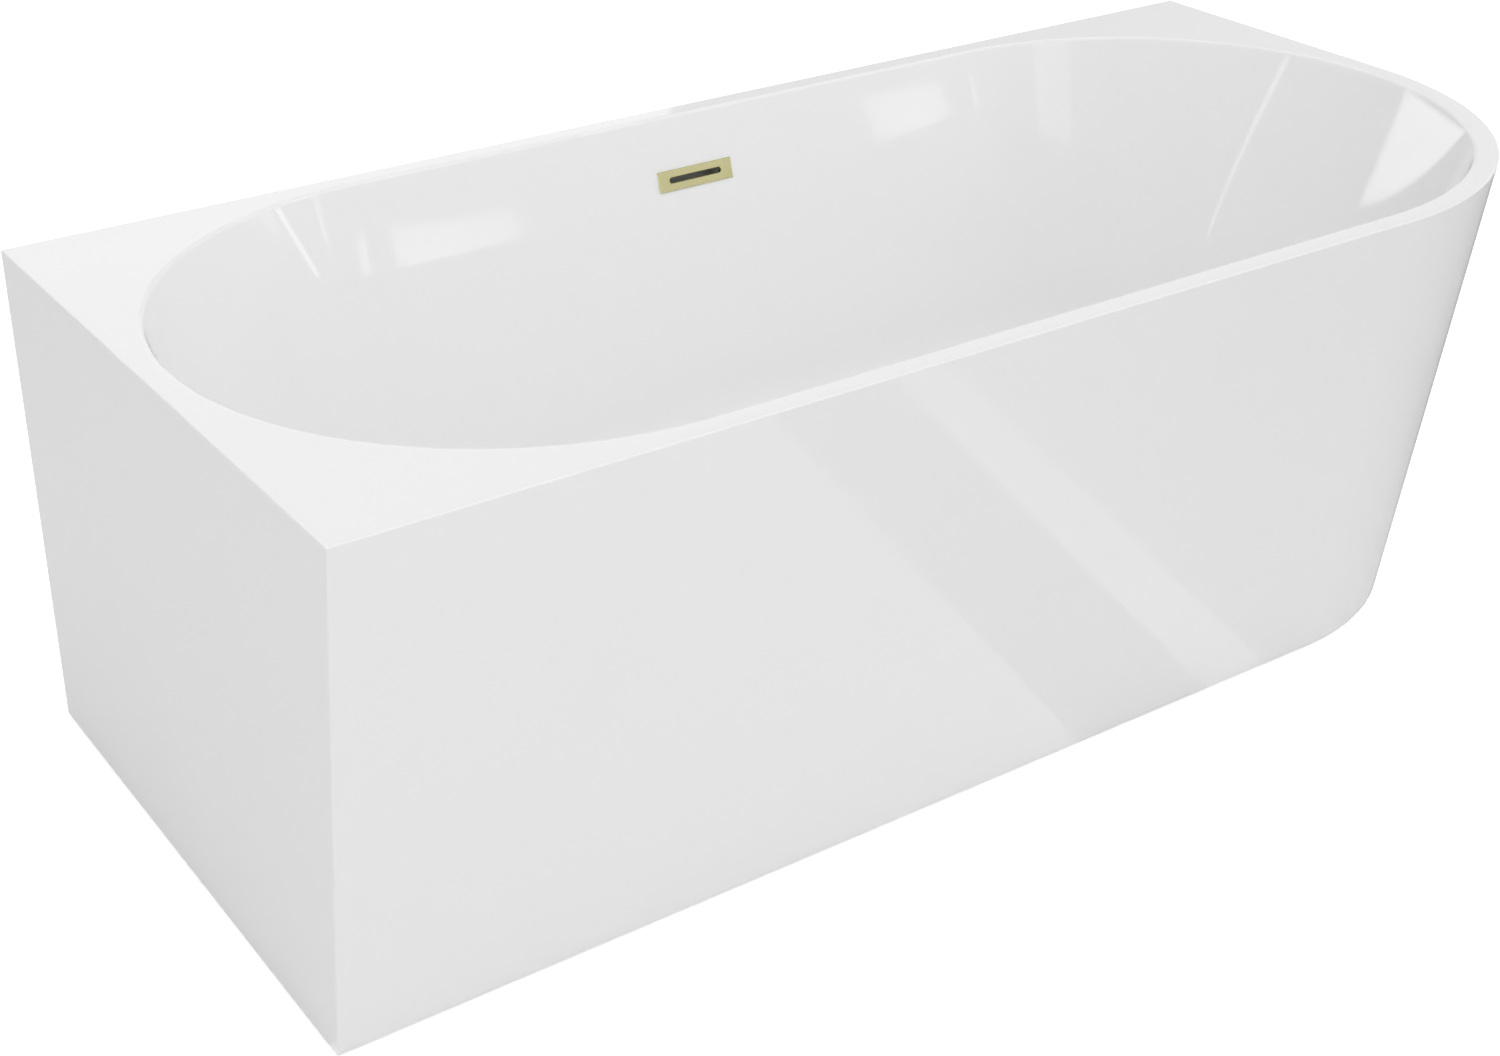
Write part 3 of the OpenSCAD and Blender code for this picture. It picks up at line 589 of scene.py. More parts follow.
@dataclass(frozen=True)
class Finish:
    """What all finishes share: a base colour, a roughness and the size of their drift.

    Attributes:
        name: Name of the material.
        colour: Base colour, linear.
        rough: Roughness.
        drift: How far colour and roughness wander.
        drift_scale: How fine that wandering is.
    """

    name: str
    colour: Colour
    rough: float
    drift: float
    drift_scale: float

    def start(self, constants: dict[str, float]) -> tuple[Tree, bpy.types.Node, bpy.types.Material]:
        """A new material whose shader has its constants set.

        Args:
            constants: Shader inputs with one number all over.

        Returns:
            The tree, the shader and the material.
        """
        material = bpy.data.materials.new(self.name)
        material.use_nodes = True
        tree = Tree(material.node_tree)
        shader = material.node_tree.nodes["Principled BSDF"]
        for key, value in constants.items():
            shader.inputs[key].default_value = value
        material.diffuse_color = (*self.colour, 1.0)
        return tree, shader, material

    def drifting(
        self, tree: Tree, shader: bpy.types.Node, base: bpy.types.NodeSocket | None = None
    ) -> None:
        """Feeds the shader a colour and a roughness that wander.

        Args:
            tree: The material's tree.
            shader: Its shader.
            base: Colour socket to vary, or None for the plain colour.
        """
        cloud = effect(tree, Effect.CLOUD, {"Scale": self.drift_scale, "Amount": self.drift})
        factor = tree.add("CombineColor", {i: cloud.outputs["Factor"] for i in range(3)}).outputs[0]
        colour = tree.mix(1.0, self.colour if base is None else base, factor, "MULTIPLY")
        tree.link(colour, shader.inputs["Base Color"])
        spread = tree.maths("MULTIPLY_ADD", cloud.outputs["Mask"], self.rough * 0.5, self.rough * 0.75)
        tree.link(spread, shader.inputs["Roughness"])

    @staticmethod
    def bumped(tree: Tree, shader: bpy.types.Node, height: bpy.types.NodeSocket, strength: float,
               distance: float) -> None:
        """Feeds the shader's normal from a height.

        Args:
            tree: The material's tree.
            shader: Its shader.
            height: The height socket, from 0 to 1.
            strength: Share of the slope that shows.
            distance: Depth in metres of a height of 1.
        """
        bump = tree.add("Bump", {"Height": height, "Strength": strength, "Distance": distance})
        tree.link(bump.outputs[0], shader.inputs["Normal"])


@dataclass(frozen=True)
class GlossAcrylic(Finish):
    """Polished sanitary acrylic, with the faint waviness that vacuum forming leaves.

    Attributes:
        ripple: Depth of the waviness.
    """

    ripple: float = 0.00004

    def material(self) -> bpy.types.Material:
        """Builds the material.

        Returns:
            The material.
        """
        tree, shader, material = self.start({"IOR": 1.49})
        self.drifting(tree, shader)
        wave = effect(tree, Effect.CLOUD, {"Scale": 9.0, "Amount": 1.0})
        self.bumped(tree, shader, wave.outputs["Mask"], 0.25, self.ripple)
        return material


@dataclass(frozen=True)
class StrandMat(Finish):
    """Chopped glass strands in cured resin, as on the back of sprayed or laid acrylic.

    Attributes:
        resin: Colour between the strands.
        bare: Colour of the strands that stand highest.
    """

    resin: Colour = (0.44, 0.41, 0.3)
    bare: Colour = (0.72, 0.71, 0.63)

    def strands(self, tree: Tree, cells: float, seed: float) -> bpy.types.NodeSocket:
        """Height of one layer of strands.

        Each cell turns its own stretched noise by its own angle, so the strands lie every way.

        Args:
            tree: The material's tree.
            cells: Cells to a metre.
            seed: Shift between layers.

        Returns:
            The height socket.
        """
        place = tree.add("TexCoord").outputs["Object"]
        shifted = tree.add("VectorMath", {0: place, 1: (seed, seed, seed)}, operation="ADD").outputs[0]
        cell = tree.add("TexVoronoi", {"Vector": shifted, "Scale": cells})
        parts = tree.add("SeparateColor", {"Color": cell.outputs["Color"]})
        angle = tree.maths("MULTIPLY", parts.outputs[0], 6.2832)
        spun = tree.add("VectorRotate", {"Vector": shifted, "Angle": angle, "Axis": (0.4, 0.6, 0.7)})
        drawn = tree.add("VectorMath", {0: spun.outputs[0], 1: (1.0, 0.06, 1.0)}, operation="MULTIPLY")
        noise = tree.add("TexNoise", {"Vector": drawn.outputs[0], "Scale": 420.0, "Detail": 1.0})
        return noise.outputs["Fac"]

    def material(self) -> bpy.types.Material:
        """Builds the material from two layers of strands, the higher one showing.

        Returns:
            The material.
        """
        tree, shader, material = self.start({"IOR": 1.52})
        height = tree.maths("MAXIMUM", self.strands(tree, 22.0, 0.0), self.strands(tree, 17.0, 3.7))
        base = tree.ramp(height, [(0.4, self.resin), (0.56, self.colour), (0.74, self.bare)])
        self.drifting(tree, shader, base)
        self.bumped(tree, shader, height, 0.8, 0.0009)
        return material


@dataclass(frozen=True)
class Chipboard(Finish):
    """Raw pressed board, its chips from pale to dark.

    Attributes:
        dark, pale: Colours of the darkest and the palest chips.
    """

    dark: Colour = (0.27, 0.165, 0.085)
    pale: Colour = (0.62, 0.44, 0.25)

    def material(self) -> bpy.types.Material:
        """Builds the material.

        Returns:
            The material.
        """
        tree, shader, material = self.start({"IOR": 1.4})
        chips = effect(tree, Effect.CHIPS, {"Scale": 260.0, "Jitter": 0.006})
        stops = [(0.0, self.dark), (0.3, self.colour), (1.0, self.pale)]
        self.drifting(tree, shader, tree.ramp(chips.outputs["Number"], stops))
        self.bumped(tree, shader, chips.outputs["Relief"], 0.8, 0.0006)
        return material


@dataclass(frozen=True)
class Galvanised(Finish):
    """Hot-dipped zinc, with its spangle and a dull bloom.

    Attributes:
        bright: Colour of the brightest flakes.
        dim: Lightness of the darkest flakes, as a share of the base colour.
    """

    bright: Colour = (0.7, 0.72, 0.74)
    dim: float = 0.8

    def material(self) -> bpy.types.Material:
        """Builds the material.

        Returns:
            The material.
        """
        tree, shader, material = self.start({"Metallic": 1.0})
        flakes = effect(tree, Effect.CHIPS, {"Scale": 150.0, "Jitter": 0.007}).outputs["Number"]
        dark = tuple(c * self.dim for c in self.colour)
        stops = [(0.0, dark), (0.55, self.colour), (1.0, self.bright)]
        self.drifting(tree, shader, tree.ramp(flakes, stops))
        rough = tree.maths("MULTIPLY_ADD", flakes, 0.16, self.rough - 0.08)
        tree.link(rough, shader.inputs["Roughness"])
        grain = effect(tree, Effect.GRAIN, {"Scale": 700.0})
        self.bumped(tree, shader, grain.outputs["Height"], 0.3, 0.0002)
        return material


@dataclass(frozen=True)
class Metal(Finish):
    """Plated or polished metal with a directional grain.

    Attributes:
        pull: Stretch of the grain along X, Y and Z; a small number draws it out.
        depth: Depth of the grain.
        grain: How fine the grain is.
    """

    pull: Triple = (1.0, 1.0, 1.0)
    depth: float = 0.00004
    grain: float = 900.0

    def material(self) -> bpy.types.Material:
        """Builds the material.

        Returns:
            The material.
        """
        tree, shader, material = self.start({"Metallic": 1.0})
        self.drifting(tree, shader)
        along = {"Along " + axis: v for axis, v in zip("XYZ", self.pull)}
        grain = effect(tree, Effect.GRAIN, {"Scale": self.grain, **along})
        self.bumped(tree, shader, grain.outputs["Height"], 0.35, self.depth)
        return material


@dataclass(frozen=True)
class Moulded(Finish):
    """Moulded plastic, rubber or resin, with a fine skin texture.

    Attributes:
        depth: Depth of the skin texture.
        texture: How fine it is.
        bend: Refractive index.
    """

    depth: float = 0.00008
    texture: float = 1400.0
    bend: float = 1.46

    def material(self) -> bpy.types.Material:
        """Builds the material.

        Returns:
            The material.
        """
        tree, shader, material = self.start({"IOR": self.bend})
        self.drifting(tree, shader)
        skin = effect(tree, Effect.GRAIN, {"Scale": self.texture})
        self.bumped(tree, shader, skin.outputs["Height"], 0.5, self.depth)
        return material


class Finishes:
    """Every finish on the bath, by its name in the record."""

    def __init__(self) -> None:
        """Builds the materials."""
        gold = (0.74, 0.7, 0.385)
        self.acrylic = GlossAcrylic("gloss_acrylic", (0.84, 0.84, 0.84), 0.03, 0.004, 2.0).material()
        self.laminate = StrandMat("strand_mat", (0.6, 0.58, 0.47), 0.4, 0.06, 7.0).material()
        self.gold = Metal("champagne_gold", gold, 0.2, 0.05, 60.0,
                          pull=(0.02, 1.0, 1.0), depth=0.00003, grain=1500.0).material()
        self.spun_gold = Metal("spun_gold", gold, 0.16, 0.04, 30.0,
                               depth=0.00002, grain=700.0).material()
        plain = {
            "bonding_resin": Moulded("cured_resin", (0.55, 0.49, 0.33), 0.32, 0.12, 40.0,
                                     depth=0.0012, texture=90.0, bend=1.52),
            "board": Chipboard("pressed_board", (0.45, 0.29, 0.15), 0.75, 0.1, 12.0),
            "galvanised_steel": Galvanised("galvanised_zinc", (0.56, 0.58, 0.6), 0.42, 0.08, 8.0),
            "bright_steel": Metal("zinc_plate", (0.68, 0.68, 0.66), 0.27, 0.08, 40.0),
            "dark_plastic": Moulded("dark_moulding", (0.018, 0.018, 0.02), 0.5, 0.1, 30.0),
            "seal_rubber": Moulded("seal_rubber", (0.012, 0.012, 0.012), 0.6, 0.15, 50.0,
                                   depth=0.0001, texture=900.0),
            "hose_plastic": Moulded("hose_plastic", (0.33, 0.34, 0.35), 0.38, 0.06, 20.0),
            "white_plastic": Moulded("white_moulding", (0.74, 0.74, 0.72), 0.34, 0.02, 15.0,
                                     depth=0.00004),
        }
        self.by_slot = {"acrylic": self.acrylic, "champagne_gold": self.gold}
        self.by_slot.update({slot: finish.material() for slot, finish in plain.items()})

    def dress_nodes(self) -> None:
        """Gives every solid of the frame the material of its slot in the record."""
        slots = {part["node"]: part["material_slot"] for part in frame["record"]["subparts"]}
        for name, node in frame["nodes"].items():
            node.data.materials.clear()
            node.data.materials.append(self.by_slot[slots[name]])


def place_piece(piece: bpy.types.Object, body: str, slot: str, *nodes: str) -> None:
    """Puts a piece on its body and hides the solids it stands for.

    Args:
        piece: The piece.
        body: Body that it rides on.
        slot: Material slot of the record; not used.
        nodes: Solids that it replaces.
    """
    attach(piece, body)
    if nodes:
        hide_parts(*nodes)
    LOG.info("%s: %d faces on %s, for %s", piece.name, len(piece.data.polygons), body, nodes or "trim")


@dataclass
class SubAssembly:
    """What every sub-assembly has.

    Attributes:
        finishes: The materials that its pieces are dressed in.
    """

    finishes: Finishes

    def add(self, name: str, sheets: list[Sheet], crease: float, slot: str, *nodes: str,
            body: str = "bath", finish: bpy.types.Material | None = None) -> None:
        """Makes a piece and puts it on its body.

        Args:
            name: Name of the piece.
            sheets: Its closed sheets.
            crease: Angle above which an edge stays sharp.
            slot: Material slot of the record.
            nodes: Solids that it replaces.
            body: Body that it rides on.
            finish: Its material, or None for the slot's own.
        """
        material = self.finishes.by_slot[slot] if finish is None else finish
        place_piece(make_piece(name, sheets, [material], crease), body, slot, *nodes)


# ---------------------------------------------------------------- the bath


@dataclass
class BathSkin:
    """Rim, basin and outer shell as one skin, acrylic outside and strand mat on the dry side.

    Rows of the skin go from the shell's lower edge up the outside, over the rim, down the basin
    to the drain, and back up the dry side. Columns go once round the bath.

    Attributes:
        length, width, top: Outer size at the rim, and its height above the floor.
        low: Height of the shell's lower edge.
        draw: How far the front and the round end draw in between the rim and the lower edge.
        wall: Wall of the shell.
        skin: Thickness of the rim and of the basin.
        rim: Width of the rim along the front.
        depth: Depth of the basin.
        lean: Lean of the basin wall from upright.
        floor_round: Radius between wall and floor.
        lip: Radius between rim and basin.
        edge: Radius of the outer edges.
        foot_edge: Radius of the shell's lower edge.
        drain, floor_ring: Radius of the hole in the floor, and of the ring of points round it.
        near, band: Width of the bands that keep flat faces flat beside an edge and a curve.
        cut: Width and height of the overflow's cut, and its reach behind and before the wall.
        hatch_z, hatch: Height and half size of the block that cuts the service opening.
        run_n, arc_n, half_n, corner_n: Chords of the straight run, of the round end's quarter,
            of half a side and of a corner.
    """

    length: float = 1.7
    width: float = 0.8
    top: float = 0.583
    low: float = 0.003
    draw: float = 0.08
    wall: float = 0.005
    skin: float = 0.006
    rim: float = 0.028
    depth: float = 0.42
    lean: float = 16.0
    floor_round: float = 0.11
    lip: float = 0.005
    edge: float = 0.0014
    foot_edge: float = 0.0008
    drain: float = 0.025
    floor_ring: float = 0.06
    near: float = 0.0012
    band: float = 0.002
    cut: tuple[float, float, float, float] = (0.082, 0.0125, -0.02, 0.01)
    hatch_z: float = 0.0615
    hatch: Triple = (0.18, 0.02, 0.0715)
    run_n: int = 34
    arc_n: int = 56
    half_n: int = 28
    corner_n: int = 6

    def __post_init__(self) -> None:
        """Works out the sizes that follow from the fields."""
        slope = math.radians(self.lean)
        self.end_x = (self.length - self.width) / 2
        self.share = (1 - math.sin(slope)) / math.cos(slope)
        self.open_r = self.width / 2 - self.rim
        self.floor = self.top - self.depth
        self.flat_r = self.open_r - self.depth * math.tan(slope) - self.floor_round * self.share

    def corner(self, middle: Pair, first: float) -> Array:
        """A rounded corner of the outline, with a short straight band at both ends.

        Args:
            middle: Middle of the corner's circle.
            first: Angle at which it starts; it turns by 90 degrees.

        Returns:
            Positions (corner_n + 3, 2).
        """
        arc = bow(middle, self.edge, first, first + 90, self.corner_n)
        a, b = math.radians(first), math.radians(first + 90)
        before = arc[:1] + self.near * np.array([[math.sin(a), -math.cos(a)]])
        after = arc[-1:] + self.near * np.array([[-math.sin(b), math.cos(b)]])
        return np.concatenate([before, arc, after])

    def run(self) -> Array:
        """Positions from 0 to 1 along the straight run, close together at its ends."""
        band = self.band / (2 * self.end_x)
        return np.concatenate([[0, band], np.linspace(0, 1, self.run_n)[1:-1], [1 - band]])

    def outline(self, level: float, inset: float) -> Array:
        """The outer form at one level, moved in by an inset.

        The front and the round end stand in by the draw times the share of the height below the
        rim. From the middle of each side to a corner, points stand at the tangent of an angle
        that grows evenly to 45 degrees, so that they face the oval's own points.

        Args:
            level: Height.
            inset: Distance in from the outside.

        Returns:
            Positions (columns, 2), anticlockwise from the front left.
        """
        drawn = self.draw * (self.top - level) / (self.top - self.low)
        reach = self.width / 2 - drawn - inset
        back, left, right = self.width / 2 - inset, inset - self.length / 2, self.end_x + reach
        e, far = self.edge, self.edge + self.near
        up = np.tan(np.radians(45 * np.linspace(0, 1, self.half_n, endpoint=False)))
        down = np.tan(np.radians(45 * (1 - np.linspace(0, 1, self.half_n + 1)[1:])))
        x = -self.end_x + 2 * self.end_x * self.run()
        level_run = np.stack([x, np.full(len(x), -reach)], -1)
        far_run = np.stack([-x, np.full(len(x), back)], -1)
        a = np.radians(np.linspace(-90, 0, self.arc_n, endpoint=False))
        quarter = np.stack([self.end_x + reach * np.cos(a), reach * np.sin(a)], -1)
        rise = np.stack([np.full(self.half_n, right), (back - far) * up], -1)
        to_back = np.stack([self.end_x + (reach - far) * down, np.full(self.half_n, back)], -1)
        span = -self.end_x - left
        along = np.stack([-self.end_x - (span - far) * up, np.full(self.half_n, back)], -1)
        drop = np.stack([np.full(self.half_n, left), (back - far) * down], -1)
        to_front = np.stack([np.full(self.half_n, left), -(reach - far) * up], -1)
        home = np.stack([-self.end_x - (span - far) * down, np.full(self.half_n, -reach)], -1)
        return np.concatenate([
            level_run, quarter, rise, self.corner((right - e, back - e), 0), to_back[:-1], far_run,
            along, self.corner((left + e, back - e), 90), drop[:-1],
            to_front, self.corner((left + e, -reach + e), 180), home[:-1],
        ])

    def oval(self, radius: float) -> Array:
        """The basin's form at one level: two half circles with a straight run between them.

        Args:
            radius: Radius of the half circles.

        Returns:
            Positions (columns, 2), facing the outline's columns.
        """
        x = -self.end_x + 2 * self.end_x * self.run()
        tight = 0.3  # half the angle that the points facing a corner share
        corner = np.linspace(-tight, tight, self.corner_n + 3)
        up = np.linspace(0, 45 - 2 * tight, self.half_n, endpoint=False)
        down = 90 - np.linspace(45 - 2 * tight, 0, self.half_n + 1)[1:]
        quarter = np.linspace(-90, 0, self.arc_n, endpoint=False)
        right = np.concatenate([quarter, up, 45 + corner, down[:-1]])
        left = np.concatenate([90 + up, 135 + corner, 90 + down[:-1],
                               180 + up, 225 + corner, 180 + down[:-1]])

        def arc(middle: float, degrees: Array) -> Array:
            """Points of the oval's circle about (middle, 0)."""
            a = np.radians(degrees)
            return np.stack([middle + radius * np.cos(a), radius * np.sin(a)], -1)

        straight = np.full(len(x), radius)
        return np.concatenate([np.stack([x, -straight], -1), arc(self.end_x, right),
                               np.stack([-x, straight], -1), arc(-self.end_x, left)])

    def hole(self, radius: float) -> Array:
        """A circle about the drain whose points lie in the same directions as the floor's edge."""
        rim = self.oval(self.flat_r)
        return radius * rim / np.linalg.norm(rim, axis=1, keepdims=True)

    def ovals(self, profile: Array) -> list[tuple[Array, float]]:
        """The basin's form at every radius and height of a profile."""
        return [(self.oval(radius), z) for radius, z in profile]

    def wall_point(self, turn: float, depth: float) -> Triple:
        """A point on the round end's inner wall, by its turn from +X and its depth below the rim."""
        a, r = math.radians(turn), self.open_r - depth * math.tan(math.radians(self.lean))
        return self.end_x + r * math.cos(a), r * math.sin(a), self.top - depth

    def sheet(self) -> Sheet:
        """The whole skin as one closed ring of rows.

        Returns:
            The sheet, with the strand mat on its dry side.
        """
        low, top, e, s, b = self.low, self.top, self.edge, self.near, self.foot_edge
        turn = np.radians(np.linspace(0, 90, 6))
        rows = [(self.outline(low, self.wall), low)]
        for t in turn:
            z = low + b * (1 - math.cos(t))
            rows.append((self.outline(z, b * (1 - math.sin(t))), z))
        rows += [(self.outline(z, 0), z) for z in (low + b + s, top - e - s)]
        for t in turn:
            z = top - e + e * math.sin(t)
            rows.append((self.outline(z, e * (1 - math.cos(t))), z))
        rows.append((self.outline(top, e + s), top))
        lip_r, lip_z = self.open_r + self.lip * self.share, top - self.lip
        rows.append((self.oval(lip_r + s), top))
        rows += self.ovals(bow((lip_r, lip_z), self.lip, 90, 180 - self.lean, 9))
        slope = math.tan(math.radians(self.lean))
        r, z = bow((lip_r, lip_z), self.lip, 180 - self.lean, 180, 1)[0]
        rows.append((self.oval(r - s * slope), z - s))
        middle = (self.flat_r, self.floor + self.floor_round)
        hollow = bow(middle, self.floor_round, -self.lean, -90, 30)
        r, z = hollow[0]
        rows.append((self.oval(r + self.band * slope), z + self.band))
        rows += self.ovals(hollow)
        flat = self.oval(self.flat_r - self.band)
        rows += [(flat, self.floor), (self.hole(self.floor_ring), self.floor)]
        rows.append((self.hole(self.drain), self.floor))
        wet = len(rows)
        under = self.floor - self.skin
        rows += [(self.hole(self.drain), under), (flat, under)]
        rows += self.ovals(bow(middle, self.floor_round + self.skin, -90, -self.lean, 16))
        deck = top - self.skin
        rows.append((self.oval(self.open_r + self.skin * self.share), deck))
        rows.append((self.outline(deck, self.wall), deck))
        finish = np.where(np.arange(len(rows)) < wet - 1, 0, 1)
        return Sheet(lifted(rows), ring=True, finish=finish)

    def build(self, finishes: Finishes, wall: "WallFrame") -> None:
        """Makes the skin and cuts the overflow's slot and the service opening through it.

        Args:
            finishes: The materials.
            wall: Where the overflow sits.
        """
        crease = 32.0
        piece = make_piece("bath_skin", [self.sheet()], [finishes.acrylic, finishes.laminate], crease)
        w, h, behind, before = self.cut
        slot = lifted([(stadium(w, h, 16), z) for z in (behind, before)])
        cutter = make_piece("cutter", [
            Sheet(slot, start=slot[0].mean(0), end=slot[-1].mean(0)).moved(wall.matrix()),
            block((0.0, self.width / 2, self.hatch_z), self.hatch),
        ], [finishes.laminate], crease)
        openings = piece.modifiers.new("openings", "BOOLEAN")
        openings.object, openings.operation, openings.solver = cutter, "DIFFERENCE", "EXACT"
        seen = piece.evaluated_get(bpy.context.evaluated_depsgraph_get())
        mesh = bpy.data.meshes.new_from_object(seen)
        piece.modifiers.clear()
        piece.data, old = mesh, piece.data
        bpy.data.meshes.remove(old)
        bpy.data.objects.remove(cutter)
        mesh.name = "bath_skin"
        smooth(mesh, crease)
        place_piece(piece, "bath", "acrylic", "basin", "outer_shell")


def block(middle: Triple, half: Triple) -> Sheet:
    """A plain block, used only to cut with.

    Its four columns are the corners, and its two rows the lower and the upper face.

    Args:
        middle: Middle of the block.
        half: Half sizes.

    Returns:
        The sheet.
    """
    xy = np.array([[-1, -1], [1, -1], [1, 1], [-1, 1]], float)
    points = np.array(middle) + lifted([(xy, -1.0), (xy, 1.0)]) * np.array(half)
    return Sheet(points, start=points[0].mean(0), end=points[1].mean(0))


def stadium(w: float, h: float, n: int) -> Array:
    """Points of a slot with round ends about the origin, anticlockwise from its lower right.

    Args:
        w: Whole width along X.
        h: Whole height along Y.
        n: Chords in each round end, and in each straight side.

    Returns:
        Positions (4 n, 2).
    """
    r, half = h / 2, (w - h) / 2
    a = np.radians(np.linspace(-90, 90, n, endpoint=False))
    end = np.stack([half + r * np.cos(a), r * np.sin(a)], -1)
    t = np.linspace(half, -half, n, endpoint=False)
    side = np.stack([t, np.full(n, r)], -1)
    return np.concatenate([end, side, -end, -side])


@dataclass
class WallFrame:
    """The place of the overflow: local X along the bath, Y up the wall, Z into the basin.

    Attributes:
        drop: Depth of the face plate's middle below the rim.
        skin: The bath that it sits in.
    """

    drop: float = 0.076
    skin: BathSkin = field(default_factory=BathSkin)

    def matrix(self) -> Matrix:
        """Turn about X by 90 degrees less the lean, moved to the middle of the face plate.

        Returns:
            The matrix.
        """
        lean = math.radians(self.skin.lean)
        middle = (0, self.skin.open_r - self.drop * math.tan(lean), self.skin.top - self.drop)
        return Matrix.Translation(middle) @ Matrix.Rotation(math.pi / 2 - lean, 4, "X")


@dataclass
class Overflow(SubAssembly):
    """Face plate with its slot, collar and studs, and the studs' nuts.

    Attributes:
        wall: Where it sits.
        plate_w, plate_h, plate_t: Size of the face plate.
        bevel: Bevel round the plate.
        slot_w, slot_h: Size of the slot.
        collar: Wall of the collar behind the slot.
        collar_l: Length of the collar.
        chamfer: Width of the bright chamfer round the slot.
        near_bevel, near_slot: Bands that keep the face flat beside the bevel and the chamfer.
        stud_x, stud_r, stud_l: Place, radius and length of the studs.
        stud_pitch: Pitch of their thread.
        nut_r, nut_h, nut_bore: Radius over the corners, height and bore of the nuts.
    """

    wall: WallFrame
    plate_w: float = 0.108
    plate_h: float = 0.026
    plate_t: float = 0.002
    bevel: float = 0.0007
    slot_w: float = 0.076
    slot_h: float = 0.0065
    collar: float = 0.0015
    collar_l: float = 0.004
    chamfer: float = 0.0009
    near_bevel: float = 0.0003
    near_slot: float = 0.0005
    stud_x: float = 0.048
    stud_r: float = 0.002
    stud_l: float = 0.0152
    stud_pitch: float = 0.0007
    nut_r: float = 0.004
    nut_h: float = 0.0032
    nut_bore: float = 0.0021

    def rectangle(self, inset: float, n: int) -> Array:
        """The plate's outline, its points facing those of the slot.

        The two ends carry the round ends' points, spread evenly over the end and over a third of
        each long side, and the corners are points of their own.

        Args:
            inset: Distance in from the outside.
            n: Points in each quarter of the loop.

        Returns:
            Positions (4 n, 2).
        """
        w, h = self.plate_w / 2 - inset, self.plate_h / 2 - inset
        knee = w - (self.plate_w - self.slot_w) / 2
        k = n // 4
        bottom = np.stack([np.linspace(knee, w, k, endpoint=False), np.full(k, -h)], -1)
        end = np.stack([np.full(n - 2 * k, w), np.linspace(-h, h, n - 2 * k, endpoint=False)], -1)
        top = np.stack([np.linspace(w, knee, k, endpoint=False), np.full(k, h)], -1)
        side = np.stack([np.linspace(knee, -knee, n, endpoint=False), np.full(n, h)], -1)
        right = np.concatenate([bottom, end, top])
        return np.concatenate([right, side, -right, -side])

    def plate(self) -> Sheet:
        """The plate as one closed ring of rows.

        Rows go from the plate's back up its outside, over the bevel and the face, down the slot's
        chamfer and wall to the collar's end, and back up the collar's outside.

        Returns:
            The sheet, in the wall's own frame.
        """
        n, t, b, c = 20, self.plate_t, self.bevel, self.chamfer
        w, h = self.slot_w, self.slot_h
        rows = [(self.rectangle(0, n), 0.0), (self.rectangle(0, n), t - b)]
        rows += [(self.rectangle(b * (1 - math.cos(a)), n), t - b + b * math.sin(a))
                 for a in np.radians([30, 60, 90])]
        rows += [(self.rectangle(b + self.near_bevel, n), t)]
        rows += [(stadium(w + 2 * c + g, h + 2 * c + g, n), t) for g in (self.near_slot, 0.0)]
        rows += [(stadium(w + 0.0001, h + 0.0001, n), t - c * 0.9), (stadium(w, h, n), t - c)]
        rows += [(stadium(w, h, n), -self.collar_l)]
        wide, high = w + 2 * self.collar, h + 2 * self.collar
        rows += [(stadium(wide, high, n), -self.collar_l), (stadium(wide, high, n), 0.0)]
        return Sheet(lifted(rows), ring=True)

    def beside(self, sheet: Sheet) -> list[Sheet]:
        """A sheet put at each of the two studs."""
        place = self.wall.matrix()
        return [sheet.moved(place @ Matrix.Translation((x, 0, 0))) for x in (-self.stud_x, self.stud_x)]

    def build(self) -> None:
        """Makes the plate with its two threaded studs, and the chamfered nuts on them."""
        stud = threaded(self.stud_r, self.stud_pitch, -self.stud_l, 0.0005, 14)
        sheets = [self.plate().moved(self.wall.matrix())] + self.beside(stud)
        self.add("overflow_face", sheets, 28.0, "champagne_gold", "overflow_plate")
        nut = hexagon(self.nut_r, -self.stud_l, self.nut_h - self.stud_l, self.nut_bore)
        self.add("overflow_stud_nuts", self.beside(nut), 25.0, "bright_steel", "overflow_nuts")


